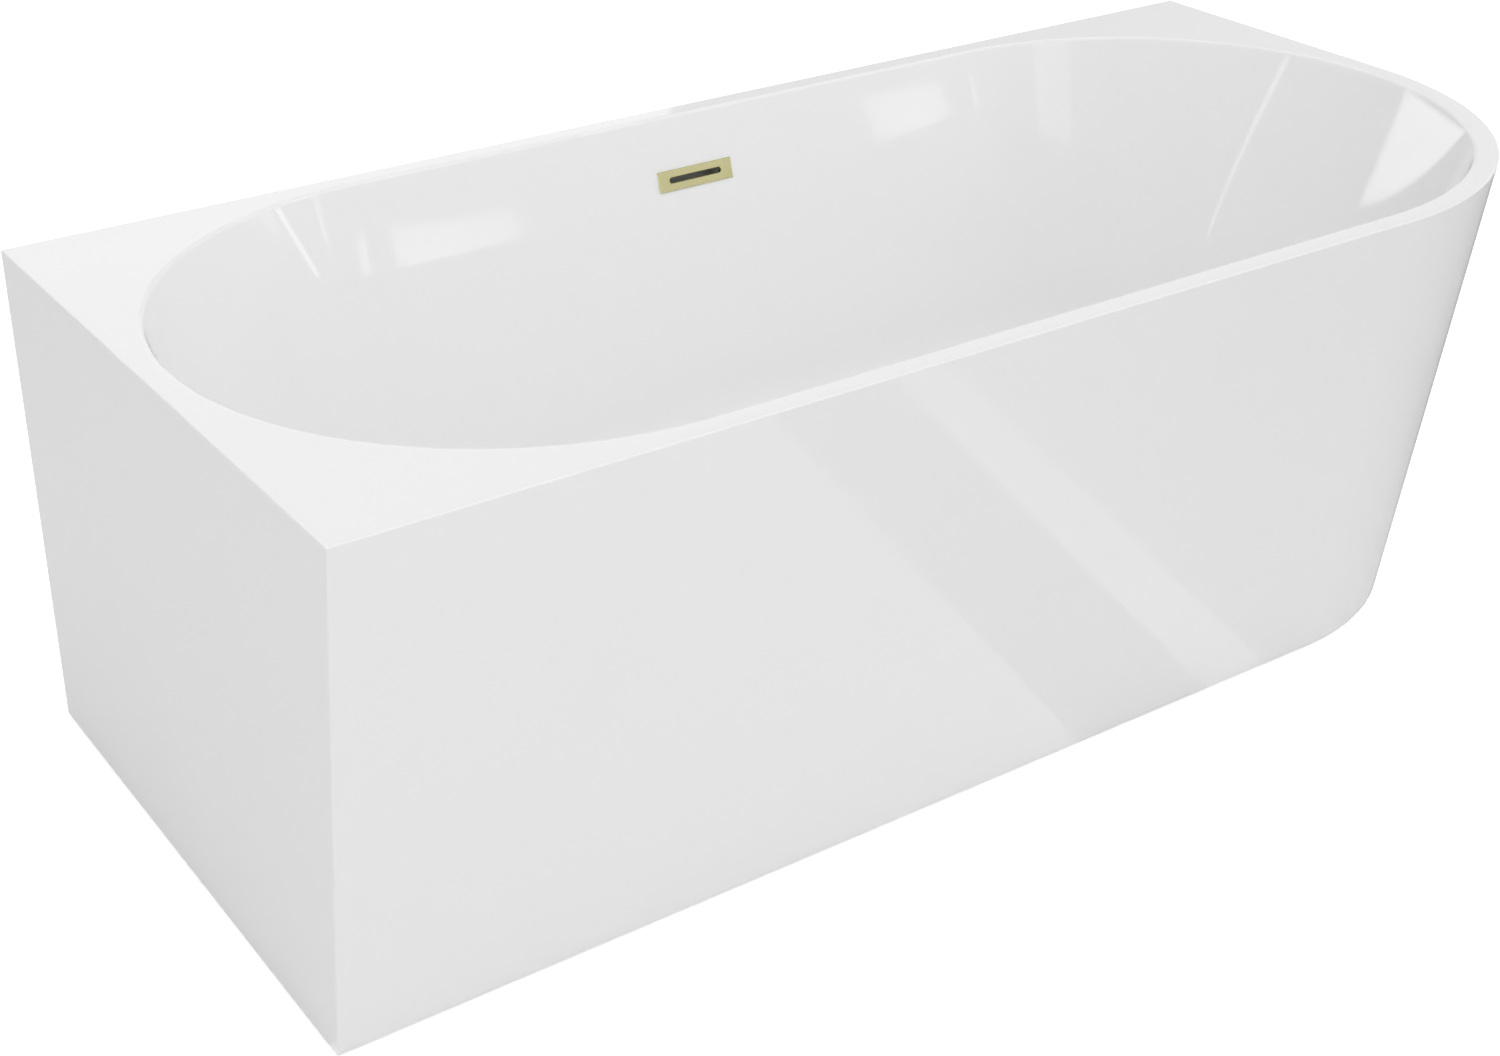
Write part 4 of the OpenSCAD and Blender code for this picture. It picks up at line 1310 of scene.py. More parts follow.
@dataclass
class Hose(SubAssembly):
    """Corrugated overflow hose: straight down behind the wall, one bend, then level to the waste.

    Attributes:
        start: Y and Z of the upper end of its middle line.
        finish_y: Y of the lower end.
        radius, wall: Outer radius and wall of the hose.
        bend: Radius of its bend.
        lean: Lean of the straight stretch from upright.
        level: Height of the level stretch.
        pitch, groove: Distance and depth of the corrugations.
        cuff: Length of the smooth ends.
    """

    start: Pair = (0.364333, 0.483704)
    finish_y: float = 0.0325
    radius: float = 0.0125
    wall: float = 0.0025
    bend: float = 0.06
    lean: float = 16.0
    level: float = 0.124
    pitch: float = 0.0052
    groove: float = 0.0016
    cuff: float = 0.03

    def route(self, steps_per_turn: int = 8) -> tuple[Array, Array]:
        """Points along the middle line, evenly spaced.

        The line runs from the start at the lean to where the bend's circle touches it, round the
        circle through 90 degrees less the lean, and then level.

        Args:
            steps_per_turn: Points to each corrugation.

        Returns:
            Positions (rows, 3) and distances along the hose (rows,).
        """
        a = math.radians(self.lean)
        y0, z0 = self.start
        knee = y0 - (z0 - self.level) * math.tan(a)
        middle_y = knee - self.bend * (1 - math.sin(a)) / math.cos(a)
        t = np.linspace(a, math.pi / 2, 60)
        rise = self.bend - self.bend * np.sin(t)
        arc = np.stack([middle_y + self.bend * np.cos(t), self.level + rise], -1)
        line = np.concatenate([[[y0, z0]], arc, [[self.finish_y, self.level]]])
        far = np.concatenate([[0], np.cumsum(np.linalg.norm(np.diff(line, axis=0), axis=1))])
        s = np.linspace(0, far[-1], int(far[-1] / self.pitch * steps_per_turn))
        y, z = (np.interp(s, far, line[:, k]) for k in range(2))
        return np.stack([np.zeros(len(s)), y, z], -1), s

    def build(self) -> None:
        """Makes the hose, its radius falling by the groove with each corrugation between the cuffs."""
        path, s = self.route()
        inside = np.clip(np.minimum(s - self.cuff, s[-1] - self.cuff - s) / 0.004, 0, 1)
        wave = 0.5 - 0.5 * np.cos(2 * np.pi * (s - self.cuff) / self.pitch)
        outer = swept(path, self.radius - self.groove * inside * wave ** 0.7)
        core = np.unique(np.append(np.arange(0, len(path), 12), len(path) - 1))[::-1]
        inner = swept(path, np.full(len(path), self.radius - self.wall))[core]
        skin = Sheet(np.concatenate([outer, inner]), ring=True)
        self.add("overflow_hose_ribbed", [skin], 50.0, "hose_plastic", "overflow_hose")

    def build_clip_screws(self) -> None:
        """Makes the worm housings of the two hose clips, each a rounded block with its screw."""
        sheets = []
        for node, lean in (("hose_clip_top", self.lean), ("hose_clip_bottom", 90.0)):
            lo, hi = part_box(node)
            turn = Matrix.Rotation(math.radians(-lean), 4, "X")
            beside = Matrix.Translation((self.radius + 0.004, 0, 0))
            place = Matrix.Translation((lo + hi) / 2) @ turn @ beside
            across = place @ Matrix.Rotation(math.pi / 2, 4, "X")
            sheets.append(pillow((0, 0, 0), (0.0032, 0.0055, 0.0045), 0.3).moved(place))
            sheets.append(hexagon(0.0032, -0.0085, -0.0045, 0.0009).moved(across))
            sheets.append(threaded(0.0022, 0.001, -0.0075, 0.0085, 12).moved(across))
        self.add("clip_screws", sheets, 30.0, "bright_steel")


@dataclass
class Waste(SubAssembly):
    """Flange with its strainer, and the domed plug.

    Attributes:
        seat: Height of the flange's underside.
        flange_r, flange_t: Radius and thickness of the flange.
        mouth, brim: Radius of the flange's inner and outer edge.
        tail_r, tail_t, tail_low: Radius, wall and lower end of the threaded tail.
        neck: Length of the tail's plain neck.
        thread, groove: Pitch and depth of the tail's thread.
        hub_r, hub_bore: Radii of the strainer's hub.
        strainer, strainer_t: Height and thickness of the strainer.
        arm: Half the width of a strainer arm.
        soft: Radius of the hub's upper edge.
        plug_r, plug_t, dome: Radius, edge thickness and rise of the plug.
        plug_low: Height of the plug's underside.
        plug_edge, plug_foot: Radius of the plug's upper and lower edge.
    """

    seat: float = 0.164
    flange_r: float = 0.035
    flange_t: float = 0.0025
    mouth: float = 0.003
    brim: float = 0.0012
    tail_r: float = 0.022
    tail_t: float = 0.002
    tail_low: float = 0.135
    neck: float = 0.003
    thread: float = 0.002
    groove: float = 0.0007
    hub_r: float = 0.01
    hub_bore: float = 0.00715
    strainer: float = 0.1575
    strainer_t: float = 0.005
    arm: float = 0.002
    soft: float = 0.0006
    plug_r: float = 0.031
    plug_t: float = 0.003
    dome: float = 0.002
    plug_low: float = 0.16855
    plug_edge: float = 0.0009
    plug_foot: float = 0.0005

    def flange(self) -> Sheet:
        """Flange and tail as one turned ring, the tail grooved as a thread is.

        Returns:
            The sheet.
        """
        r, seat, bore = self.flange_r, self.seat, self.tail_r - self.tail_t
        top = seat + self.flange_t
        z = np.linspace(seat - self.neck, self.tail_low, 60)
        wave = 0.5 - 0.5 * np.cos(2 * np.pi * (z - z[0]) / self.thread)
        profile = np.concatenate([
            [[bore, self.tail_low], [bore, top - self.mouth]],
            bow((bore + self.mouth, top - self.mouth), self.mouth, 180, 100, 6),
            bow((r - self.brim, top - self.brim), self.brim, 85, 0, 6),
            [[r, seat + 0.0002], [r - 0.0002, seat], [self.tail_r, seat]],
            np.stack([self.tail_r - self.groove * wave, z], -1),
        ])
        return turned(profile, 96, ring=True)

    def strainer_sheets(self) -> list[Sheet]:
        """The hub as a turned ring and four arms, each a bar with rounded edges.

        Returns:
            The five sheets.
        """
        low, high, r, b = self.strainer, self.strainer + self.strainer_t, self.hub_r, self.soft
        hub = np.concatenate([[[self.hub_bore, low], [r - b, low]],
                              bow((r - b, high - b), b, 0, 90, 4), [[self.hub_bore, high]]])
        overlap = 0.0008  # how far an arm reaches into the hub and into the tail
        half = (self.tail_r - self.tail_t / 2 - r) / 2 + overlap
        middle = (r + half - overlap, 0, (low + high) / 2)
        arm = pillow(middle, (half, self.arm, self.strainer_t / 2), 0.22)
        arms = [arm.moved(Matrix.Rotation(turn * math.pi / 2, 4, "Z")) for turn in range(4)]
        return [turned(hub, 64, ring=True)] + arms

    def build(self) -> None:
        """Makes the flange with its strainer, and the plug.

        The plug has a flat underside, a rounded edge and a top that rises with one less the square
        of the distance from its middle.
        """
        sheets = [self.flange()] + self.strainer_sheets()
        gold = self.finishes.spun_gold
        self.add("waste_ring", sheets, 30.0, "champagne_gold", "waste_flange", finish=gold)
        edge, foot, low = self.plug_edge, self.plug_foot, self.plug_low
        r = np.linspace(self.plug_r - edge, 0, 22)
        top = low + self.plug_t + self.dome * (1 - (r / (self.plug_r - edge)) ** 2)
        profile = np.concatenate([
            [[0, low], [self.plug_r - foot, low]],
            bow((self.plug_r - foot, low + foot), foot, -60, 0, 3),
            bow((self.plug_r - edge, low + self.plug_t - edge), edge, 0, 84, 6),
            np.stack([r, top], -1),
        ])
        self.add("plug_dome", [turned(profile, 128)], 30.0, "champagne_gold", "plug_cap",
                 body="plug", finish=gold)


@dataclass
class Foot(SubAssembly):
    """One levelling foot: a threaded stem with a hexagon, in a ribbed pad.

    Attributes:
        number: Which foot, from 1.
        stem_r, pitch: Radius and pitch of the stem's thread.
        plain_r, plain_top: Radius and top of the stem's plain end.
        chamfer: Chamfer at both of its ends.
        hex_r: Radius of the hexagon over its corners.
        hex_low, hex_high: Lower and upper end of the hexagon.
        pad_r, pad_h: Radius and rim height of the pad.
        socket_r, socket_h: Radius and top of the pad's socket.
        floor: Thickness of the pad under the stem.
        ribs, rib_h: Number of ribs on the cone, and how high they stand.
    """

    number: int
    stem_r: float = 0.006
    pitch: float = 0.00175
    plain_r: float = 0.0059
    plain_top: float = 0.0242
    chamfer: float = 0.0007
    hex_r: float = 0.011
    hex_low: float = 0.091
    hex_high: float = 0.099
    pad_r: float = 0.025
    pad_h: float = 0.004
    socket_r: float = 0.012
    socket_h: float = 0.02
    floor: float = 0.006
    ribs: int = 12
    rib_h: float = 0.0012

    def place(self) -> Matrix:
        """Move to the middle of this foot's solid."""
        lo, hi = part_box(f"foot_pad_{self.number}")
        return Matrix.Translation(((lo.x + hi.x) / 2, (lo.y + hi.y) / 2, 0))

    def build_stem(self) -> None:
        """Makes the stem: plain in the pad, threaded above it, with its hexagon."""
        low, high = self.floor + 0.0001, self.plain_top
        r, c = self.plain_r, self.chamfer
        plain = turned(np.array([[0, low], [r - c, low], [r, low + c],
                                 [r, high - c], [r - c, high], [0, high]]), 32)
        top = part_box(f"foot_stem_{self.number}")[1].z
        rod = threaded(self.stem_r, self.pitch, high - c, top, 18)
        collar = hexagon(self.hex_r, self.hex_low, self.hex_high, 0.0045)
        self.add(f"stem_thread_{self.number}", [s.moved(self.place()) for s in (plain, rod, collar)],
                 40.0, "bright_steel", f"foot_stem_{self.number}", body=f"stem_{self.number}")

    def build_pad(self) -> None:
        """Makes the pad: a turned form whose cone carries the ribs.

        The height on the cone rises with the sixth power of the cosine of half the ribs times the
        angle, and the underside has two shallow grip grooves.
        """
        r0, r1, high, sides = self.socket_r, self.pad_r, self.socket_h, 96
        grip = [[0, 0], [0.008, 0], [0.009, 0.0007], [0.011, 0.0007], [0.012, 0],
                [0.017, 0], [0.018, 0.0007], [0.02, 0.0007], [0.021, 0], [r1 - 0.0006, 0]]
        t = np.linspace(0, 1, 12)[1:-1]
        cone = np.stack([r1 - 0.001 + (r0 - r1 + 0.001) * t, self.pad_h + self.floor * t], -1)
        bore = self.stem_r + 0.00005
        profile = np.concatenate([
            grip, bow((r1 - 0.0006, 0.0006), 0.0006, -60, 0, 3),
            bow((r1 - 0.001, self.pad_h - 0.001), 0.001, 0, 80, 4), cone,
            [[r0, self.pad_h + self.floor]],
            bow((r0 - 0.001, high - 0.001), 0.001, 0, 90, 4),
            [[bore + 0.0005, high], [bore, high - 0.0005], [bore, self.floor], [0, self.floor]],
        ])
        sheet = turned(profile, sides)
        first = len(grip) - 1 + 4 + 5  # the rows before the cone, without the pole
        swell = np.cos(self.ribs / 2 * around(sides))[None, :] ** 6
        lift = self.rib_h * np.sin(np.pi * t)[:, None] ** 0.5 * swell
        sheet.points[first:first + len(t), :, 2] += lift
        self.add(f"pad_ribbed_{self.number}", [sheet.moved(self.place())], 35.0, "dark_plastic",
                 f"foot_pad_{self.number}", body=f"foot_{self.number}")


@dataclass
class Trap(SubAssembly):
    """The two ribbed union nuts of the trap.

    Attributes:
        wall: Wall of a nut.
        skirt: Height of its skirt.
        ribs: Number of grip ribs.
        depth: Depth between the ribs.
        brow: Radius of its upper edge.
        fit: Gap to the collar inside it.
    """

    wall: float = 0.004
    skirt: float = 0.01
    ribs: int = 22
    depth: float = 0.0012
    brow: float = 0.0025
    fit: float = 0.00005

    def nut(self, collar: float, pipe: float) -> Sheet:
        """A union nut about Z.

        The outside distance falls between the ribs with the square of the sine of half the ribs
        times the angle, on the rows of the skirt and of the lower half of its upper edge.

        Args:
            collar: Outer radius of the threaded collar inside it.
            pipe: Outer radius of the pipe through it.

        Returns:
            The sheet.
        """
        sides, bore, hole = self.ribs * 8, collar + self.fit, pipe + 0.0001
        outer, high, brow = bore + self.wall, self.skirt + self.wall, self.brow
        outside = np.concatenate([[[outer - 0.0006, 0], [outer, 0.0006], [outer, high - 0.003]],
                                  bow((outer - brow, high - brow), brow, 0, 90, 6)])
        inside = np.array([[hole, high], [hole, self.skirt], [bore, self.skirt], [bore, 0]])
        profile = np.concatenate([outside, inside])
        dip = self.depth * np.sin(self.ribs * around(sides) / 2)[None, :] ** 2
        grip = np.where(np.arange(len(profile)) < 6, 1.0, 0.0)[:, None]
        return turned(profile, sides, ring=True, wave=1 - grip * dip / profile[:, :1])

    def build(self) -> None:
        """Makes both nuts, one upright on the trap and one round its outlet."""
        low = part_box("trap_nut")[0].z
        lo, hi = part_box("outlet_nut")
        up = Matrix.Translation((0, 0, low))
        side = Matrix.Translation((hi.x, 0, (lo.z + hi.z) / 2)) @ Matrix.Rotation(-math.pi / 2, 4, "Y")
        for name, node, nut in (
            ("trap_union", "trap_nut", self.nut(0.023, 0.018).moved(up)),
            ("outlet_union", "outlet_nut", self.nut(0.025, 0.02).moved(side)),
        ):
            self.add(name, [nut], 30.0, "white_plastic", node)


@dataclass
class FrameDetail(SubAssembly):
    """What the steel frame has beyond its tubes: weld beads, and screws with crossed recesses.

    Attributes:
        tube: Outer size of the tubes.
        bead: Radius of a weld bead.
        ripple, swell: Distance between a bead's ripples, and their share of its radius.
        head_r, head_h: Radius and height of the screw heads.
        shank, pitch: Radius and pitch of the shanks.
        slot, slot_l, slot_d: Half the width, half the length and the depth of the crossed recess.
    """

    tube: float = 0.03
    bead: float = 0.0024
    ripple: float = 0.0017
    swell: float = 0.12
    head_r: float = 0.005
    head_h: float = 0.003
    shank: float = 0.0024
    pitch: float = 0.0011
    slot: float = 0.00055
    slot_l: float = 0.0026
    slot_d: float = 0.0016

    def bead_sheet(self, at: Vector) -> Sheet:
        """One weld bead along Y.

        Its radius swells with the cosine of the distance over the ripple, and falls away at both
        ends with the square root of one less the sixth power of the distance from the middle.

        Args:
            at: Middle of the bead.

        Returns:
            The sheet.
        """
        t = np.linspace(-1, 1, 66)
        y = t * self.tube * 0.47
        swell = 1 + self.swell * np.cos(2 * np.pi * y / self.ripple)
        r = self.bead * swell * np.sqrt(np.clip(1 - t ** 6, 0.02, 1))
        a = around(12)
        x, z = r[:, None] * np.cos(a), r[:, None] * np.sin(a)
        points = np.stack([x, np.broadcast_to(y[:, None], x.shape), z], -1) + np.array(at)
        return Sheet(points, start=points[0].mean(0), end=points[-1].mean(0))

    def build_welds(self) -> None:
        """Makes the beads where each cross tube stands on a rail."""
        sheets = []
        for tube in ("cross_tube_left", "cross_tube_middle", "cross_tube_right", "end_tube"):
            lo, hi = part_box(tube)
            for rail in ("rail_front", "rail_back"):
                a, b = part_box(rail)
                for x in (lo.x, hi.x) if tube != "end_tube" else (lo.x,):
                    sheets.append(self.bead_sheet(Vector((x, (a.y + b.y) / 2, lo.z))))
        self.add("weld_beads", sheets, 60.0, "galvanised_steel")

    def screw_sheets(self, length: float) -> list[Sheet]:
        """A pan-head screw pointing down from the origin.

        The head's height over its flat is the square root of one less the fourth power of the
        distance, and the recess takes away a cross whose depth fades from the middle outwards.

        Args:
            length: Length below the head.

        Returns:
            Head and shank.
        """
        sides, rows = 64, 26
        a = around(sides)
        r = np.linspace(self.head_r, self.head_r * 0.03, rows)[:, None]
        dome = self.head_h * np.clip(1 - (r / self.head_r) ** 4, 0, 1) ** 0.5
        x, y = r * np.cos(a), r * np.sin(a)
        arm = np.minimum(np.abs(x), np.abs(y))
        cross = np.clip((self.slot - arm) / 0.00025, 0, 1) * np.clip((self.slot_l - r) / 0.0005, 0, 1)
        z = dome - cross * self.slot_d * (1 - r / 0.004)
        brim = np.stack([x[:1], y[:1], np.zeros((1, sides))], -1)
        grid = np.concatenate([brim, np.stack([x, y, z], -1)])
        head = Sheet(grid, start=np.zeros(3), end=np.array([0, 0, z[-1].mean()]))
        return [head, threaded(self.shank, self.pitch, -length, 0.0002, 12)]

    def build_screws(self) -> None:
        """Makes every bracket screw and board screw, in the places of the solids' own."""
        tubes = [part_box(f"cross_tube_{side}") for side in ("left", "middle", "right")]
        for kind, turn in (("bracket", 0.0), ("board", math.pi)):
            lo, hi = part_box(f"{kind}_screws")
            seat = lo.z + self.head_h if turn else hi.z - self.head_h
            screw = self.screw_sheets(hi.z - self.head_h - lo.z)
            sheets = []
            for a, b in tubes:
                for y in (lo.y + self.head_r, hi.y - self.head_r):
                    place = Matrix.Translation(((a.x + b.x) / 2, y, seat))
                    sheets += [s.moved(place @ Matrix.Rotation(turn, 4, "X")) for s in screw]
            self.add(f"{kind}_pan_screws", sheets, 30.0, "bright_steel", f"{kind}_screws")

    def build_weld_nuts(self) -> None:
        """Makes the chamfered nuts under the tubes."""
        lo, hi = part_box("weld_nuts")
        nut = hexagon(0.011, lo.z, hi.z, 0.00605)
        sheets = [nut.moved(Foot(self.finishes, number).place()) for number in range(1, 6)]
        self.add("weld_nuts_chamfered", sheets, 25.0, "galvanised_steel", "weld_nuts")


# ---------------------------------------------------------------- studio


class Card(Enum):
    """Light cards far off, which only reflections see: four corners, each with its bearing from
    +Y towards +X, its height and its light."""

    BACK_GLOW_LOW = ((-25, 8, 1.15), (32.2, 8, 1.15), (32.2, 19, 1.15), (-25, 19, 1.15))
    BACK_GLOW = ((-25, 19, 1.15), (32.2, 19, 1.15), (32.2, 27, 0.45), (-25, 27, 0.45))
    BACK_GLOW_TOP = ((-25, 27, 0.45), (32.2, 27, 0.45), (32.2, 50, 0.5), (-25, 50, 0.5))
    BACK_DIM = ((32.2, 12, 0.47), (100, 12, 0.47), (100, 60, 0.47), (32.2, 60, 0.47))
    WINDOW_NEAR = ((156.6, 7.2, 2.9), (153.4, 7.2, 2.2), (153.4, 8.1, 1.8), (156.6, 8.5, 2.4))
    WINDOW_FAR = ((143.9, 6.9, 2.5), (141.9, 6.8, 2.5), (141.9, 7.9, 2.1), (143.9, 8.1, 1.9))
    LEFT_BAR = ((124, 5.6, 3.6), (146, 4.4, 3.6), (146, 4.6, 3.6), (124, 6.1, 3.6))
    LEFT_PATCH = ((119, 4.2, 1.7), (126, 4.4, 1.7), (126, 5.8, 1.7), (119, 5.8, 1.7))
    FRONT_COLUMN = ((-174, 7, 1.6), (171, 7, 1.6), (171, 18, 1.6), (-174, 18, 1.6))
    RIGHT_BAR = ((-86, 13.0, 3.0), (-109, 10.0, 3.0), (-109, 10.3, 3.0), (-86, 13.5, 3.0))


class Strip(Enum):
    """Paler and darker strips of the floor, which only reflections see: left, right, front and
    back edge, and the light at the left and the right edge."""

    LEFT = (-1.5, 0.08, -1.9, -0.3, 1.15, 1.15)
    GAP = (0.08, 0.28, -1.9, -0.3, 0.6, 0.6)
    BAND = (0.28, 0.377, -1.9, -0.3, 1.15, 1.15)
    NEAR_END = (0.377, 1.1, -6.0, 12.0, 0.7, 0.42)
    MID_END = (1.1, 2.6, -6.0, 12.0, 0.42, 0.36)
    FAR_END = (2.6, 14.0, -6.0, 12.0, 0.36, 0.36)


@dataclass
class Studio:
    """Pale floor, even surroundings, soft lamps, reflection cards, a beam and the camera.

    Attributes:
        eye: Place of the camera.
        look: Direction in which it looks.
        lens: Focal length on a 36 mm wide frame.
        shift: Shift of the frame.
        sky: Strength of the surroundings.
        floor_glow: What the floor adds to its own light for the camera.
        floor_reach: Half the side of the floor.
        light_field: Left, right, front and back edge of the floor's field under the bath.
        aim: Point that the lamps and cards stand round.
        lamp_far, lamp_size: Level distance and side of the soft lamps.
        card_far: Level distance of the cards.
        lamps: Bearing, height and power of each soft lamp.
        strip_lift: Height of the strips above the floor.
        beam_from, beam_power: Place and power of the beam.
        beam_cone, beam_size: Angle of its cone, and size of its source.
        patch: Turn and depth of the corners of the patch that the beam lights.
        trim_share, trim_spread: Where the trim stands, as a share of the beam's way, and its outer
            size over the size of its opening.
    """

    eye: Triple = (-1.5196, -1.9860, 1.5122)
    look: Triple = (0.51724, 0.74417, -0.42271)
    lens: float = 56.73
    shift: Pair = (-0.0091, -0.0929)
    sky: float = 0.72
    floor_glow: float = 0.45
    floor_reach: float = 80.0
    light_field: tuple[float, float, float, float] = (-0.8, 0.56, -0.28, 0.36)
    aim: Vector = field(default_factory=lambda: Vector((0.0, 0.0, 0.5)))
    lamp_far: float = 2.4
    lamp_size: float = 2.0
    card_far: float = 50.0
    lamps: dict[str, Triple] = field(default_factory=lambda: {
        "front_high": (180, 60, 34.0), "right_low": (90, 25, 14.0), "front_left_high": (-135, 50, 26.0),
    })
    strip_lift: float = 0.001
    beam_from: Triple = (0.0, 2.4, 2.0)
    beam_power: float = 120.0
    beam_cone: float = 9.0
    beam_size: float = 0.002
    patch: tuple[Pair, Pair, Pair] = ((-11.0, 0.003), (-37.0, 0.003), (-9.0, 0.16))
    trim_share: float = 0.35
    trim_spread: float = 9.0

    def camera(self) -> None:
        """Makes the camera and hands it to the scene."""
        data = bpy.data.cameras.new("camera")
        data.sensor_width, data.lens = 36.0, self.lens
        data.shift_x, data.shift_y = self.shift
        data.clip_start, data.clip_end = 0.05, 100.0
        bpy.context.scene.camera = aimed("camera", data, Vector(self.eye), Vector(self.look))

    def floor(self) -> None:
        """A broad pale floor, white to the camera, with the bath's soft shadow, and open from below.

        The field under the bath is a piece of its own that lets light up to the frame and feet.
        """
        left, right, front, back = self.light_field
        inner = [(left, front, 0), (right, front, 0), (right, back, 0), (left, back, 0)]
        far = self.floor_reach
        outer = [(-far, -far, 0), (far, -far, 0), (far, far, 0), (-far, far, 0)]
        frame_faces = [(k + 4, (k + 1) % 4 + 4, (k + 1) % 4, k) for k in range(4)]
        floor = flat_sheet("floor", inner + outer, frame_faces)
        under = flat_sheet("floor_field", inner)
        under.visible_diffuse = under.visible_glossy = under.visible_shadow = False
        material = bpy.data.materials.new("studio_floor")
        material.use_nodes = True
        tree = Tree(material.node_tree)
        shader = material.node_tree.nodes["Principled BSDF"]
        shader.inputs["Base Color"].default_value = (0.88, 0.88, 0.88, 1)
        shader.inputs["Roughness"].default_value = 0.9
        shader.inputs["Specular IOR Level"].default_value = 0.0
        glow = tree.add("Emission", {"Strength": self.floor_glow})
        seen = tree.add("LightPath").outputs["Is Camera Ray"]
        lit = tree.add("AddShader", {0: shader.outputs[0], 1: glow.outputs[0]})
        both = tree.add("MixShader", {0: seen, 1: shader.outputs[0], 2: lit.outputs[0]})
        below = tree.add("NewGeometry").outputs["Backfacing"]
        clear = tree.add("BsdfTransparent").outputs[0]
        open_below = tree.add("MixShader", {0: below, 1: both.outputs[0], 2: clear})
        tree.link(open_below.outputs[0], material.node_tree.nodes["Material Output"].inputs[0])
        for sheet in (floor, under):
            sheet.data.materials.append(material)

    def surroundings(self) -> None:
        """Even light from all round, white where the camera sees it."""
        world = bpy.data.worlds.new("studio")
        world.use_nodes = True
        tree = Tree(world.node_tree)
        back = world.node_tree.nodes["Background"]
        back.inputs["Color"].default_value = (1, 1, 1, 1)
        back.inputs["Strength"].default_value = self.sky
        white = tree.add("Background", {"Strength": 1.0, "Color": (1, 1, 1, 1)})
        seen = tree.add("LightPath").outputs["Is Camera Ray"]
        both = tree.add("MixShader", {0: seen, 1: back.outputs[0], 2: white.outputs[0]})
        tree.link(both.outputs[0], world.node_tree.nodes["World Output"].inputs[0])
        bpy.context.scene.world = world

    def lamp(self, name: str, bearing: float, height: float, power: float) -> None:
        """Adds a soft square lamp that faces the middle of the bath.

        Args:
            name: Name of the lamp.
            bearing: Bearing from +Y towards +X.
            height: Angle above the level.
            power: Power in watts.
        """
        data = bpy.data.lights.new(name, "AREA")
        data.energy, data.size, data.shape = power, self.lamp_size, "SQUARE"
        away = bearing_vector(bearing, height)
        lamp = aimed(name, data, self.aim + self.lamp_far * away, -away)
        lamp.visible_camera = lamp.visible_glossy = False

    def card(
        self, name: str, corners: list[Vector], lights: list[float], glow: bpy.types.Material
    ) -> None:
        """Adds one light card, seen by reflections alone.

        Args:
            name: Name of the card.
            corners: Its four corners.
            lights: Strength of its light at each corner.
            glow: Material that shines with the attribute "light".
        """
        sheet = flat_sheet(name, corners)
        light = sheet.data.attributes.new("light", "FLOAT", "POINT")
        light.data.foreach_set("value", lights)
        sheet.data.materials.append(glow)
        sheet.visible_camera = sheet.visible_diffuse = sheet.visible_shadow = False
        sheet.visible_transmission = sheet.visible_volume_scatter = False

    def cards(self) -> None:
        """Adds every card and every strip of the floor."""
        glow = bpy.data.materials.new("card_glow")
        glow.use_nodes = True
        tree, nodes = Tree(glow.node_tree), glow.node_tree.nodes
        nodes.remove(nodes["Principled BSDF"])
        light = tree.add("Attribute", attribute_name="light").outputs["Fac"]
        shine = tree.add("Emission", {"Strength": light})
        tree.link(shine.outputs[0], nodes["Material Output"].inputs[0])
        for card in Card:
            corners = [self.aim + self.card_far * bearing_vector(b, h) for b, h, _ in card.value]
            self.card("card_" + card.name.lower(), corners, [corner[2] for corner in card.value], glow)
        for strip in Strip:
            left, right, front, back, first, last = strip.value
            edges = ((left, front), (right, front), (right, back), (left, back))
            corners = [Vector((x, y, self.strip_lift)) for x, y in edges]
            self.card("strip_" + strip.name.lower(), corners, [first, last, last, first], glow)

    def beam(self, skin: "BathSkin") -> None:
        """Adds a narrow beam that a three-cornered opening trims on its way to the round end.

        Each corner of the opening stands on the line from the lamp to a corner of the lit patch
        on the basin's wall, at the same share of the way.

        Args:
            skin: The bath, for the place of its wall.
        """
        patch = [Vector(skin.wall_point(turn, depth)) for turn, depth in self.patch]
        start = Vector(self.beam_from)
        middle = sum(patch, Vector()) / len(patch)
        data = bpy.data.lights.new("beam", "SPOT")
        data.energy, data.shadow_soft_size = self.beam_power, self.beam_size
        data.spot_size, data.spot_blend = math.radians(self.beam_cone), 0.0
        lamp = aimed("beam", data, start, middle - start)
        lamp.visible_camera = lamp.visible_glossy = False
        inner = [start + (corner - start) * self.trim_share for corner in patch]
        centre = sum(inner, Vector()) / len(inner)
        outer = [centre + (corner - centre) * self.trim_spread for corner in inner]
        rim = [(k, (k + 1) % 3, (k + 1) % 3 + 3, k + 3) for k in range(3)]
        trim = flat_sheet("beam_trim", inner + outer, rim)
        trim.visible_camera = trim.visible_diffuse = trim.visible_glossy = False
        trim.visible_transmission = trim.visible_volume_scatter = False

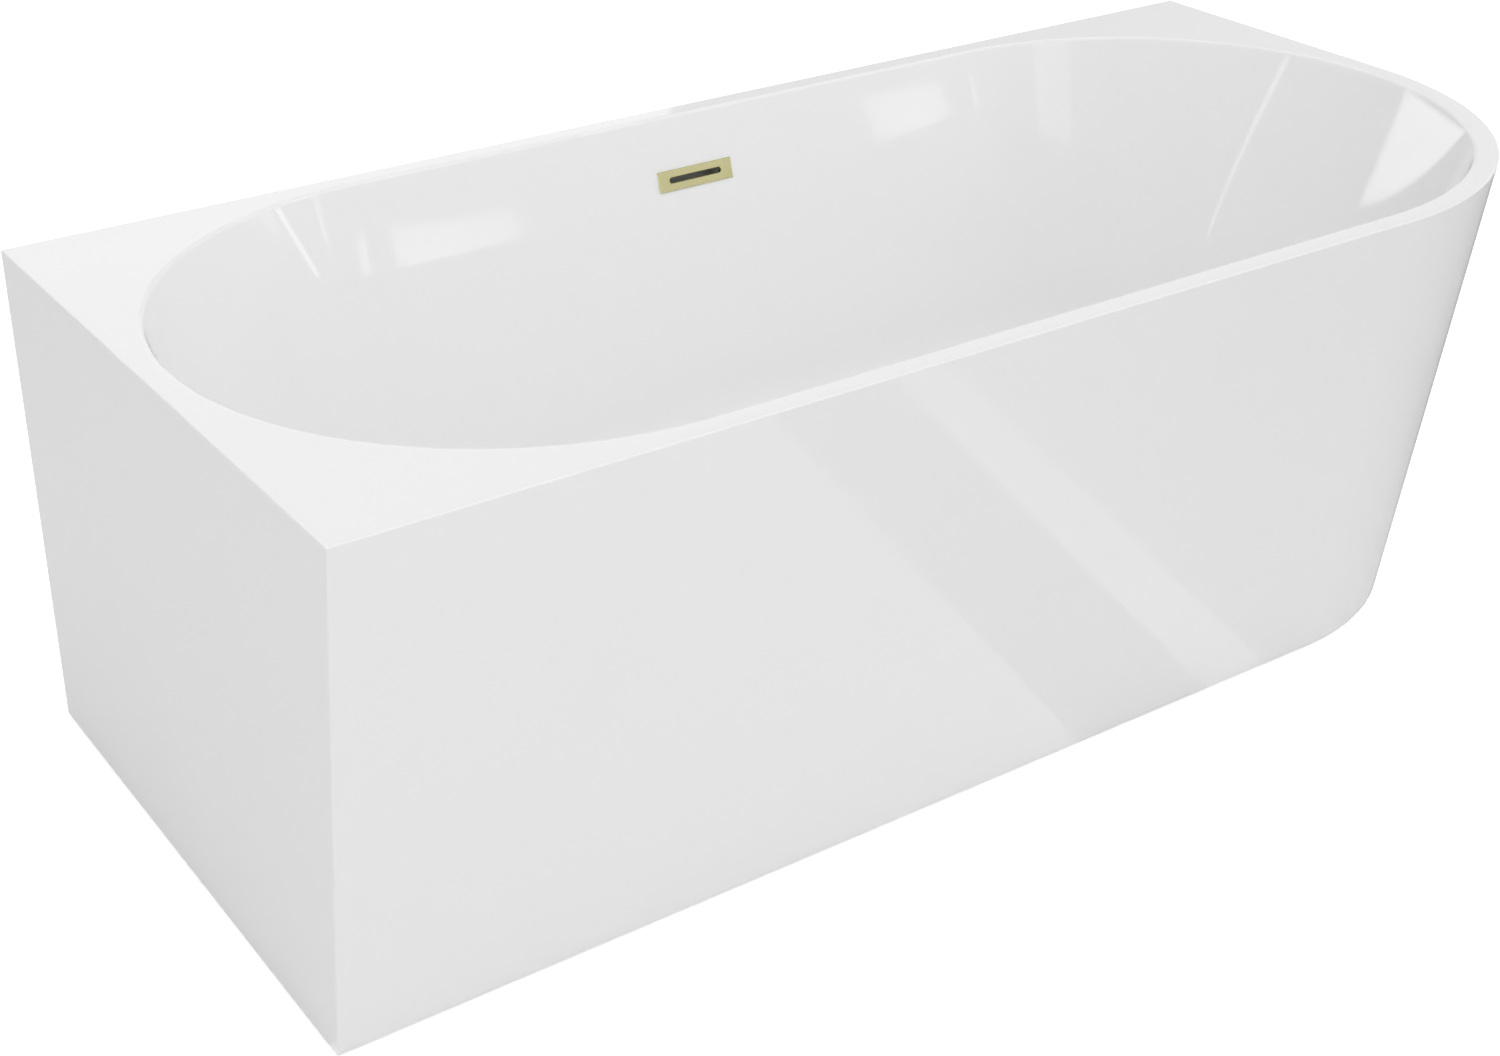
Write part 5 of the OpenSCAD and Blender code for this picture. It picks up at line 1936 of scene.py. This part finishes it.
    def build(self, skin: "BathSkin") -> None:
        """Sets up the whole studio.

        Args:
            skin: The bath, for the place of its wall.
        """
        bpy.context.scene.view_settings.view_transform = "Standard"
        self.camera()
        self.floor()
        self.surroundings()
        for name, (bearing, height, power) in self.lamps.items():
            self.lamp(name, bearing, height, power)
        self.cards()
        self.beam(skin)


def bearing_vector(bearing: float, height: float) -> Vector:
    """Direction with a level part of 1: bearing from +Y towards +X, and height above the level."""
    b = math.radians(bearing)
    return Vector((math.sin(b), math.cos(b), math.tan(math.radians(height))))


def flat_sheet(name: str, corners: list, faces: list | None = None) -> bpy.types.Object:
    """An object of flat faces.

    Args:
        name: Name of the object.
        corners: Its corners.
        faces: Corner numbers of each face, or None for one face over all the corners.

    Returns:
        The linked object.
    """
    mesh = bpy.data.meshes.new(name)
    mesh.from_pydata([list(c) for c in corners], [], faces or [tuple(range(len(corners)))])
    return linked(name, mesh)


def aimed(name: str, data: bpy.types.ID, place: Vector, look: Vector) -> bpy.types.Object:
    """A camera or lamp at a place, looking along a direction.

    Args:
        name: Name of the object.
        data: The camera or light.
        place: Where it stands.
        look: The direction.

    Returns:
        The linked object.
    """
    thing = linked(name, data)
    thing.location = place
    thing.rotation_mode = "QUATERNION"
    thing.rotation_quaternion = look.to_track_quat("-Z", "Y")
    return thing


def main() -> None:
    """Builds the studio, the finishes and every piece."""
    logging.basicConfig(level=logging.INFO, format="%(name)s: %(message)s")
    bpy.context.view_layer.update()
    skin = BathSkin()
    Studio().build(skin)
    finishes = Finishes()
    finishes.dress_nodes()
    wall = WallFrame(skin=skin)
    skin.build(finishes, wall)
    Overflow(finishes, wall).build()
    hose = Hose(finishes)
    hose.build()
    hose.build_clip_screws()
    Waste(finishes).build()
    Trap(finishes).build()
    for number in range(1, 6):
        foot = Foot(finishes, number)
        foot.build_stem()
        foot.build_pad()
    detail = FrameDetail(finishes)
    detail.build_welds()
    detail.build_screws()
    detail.build_weld_nuts()


if __name__ == "__main__":
    main()
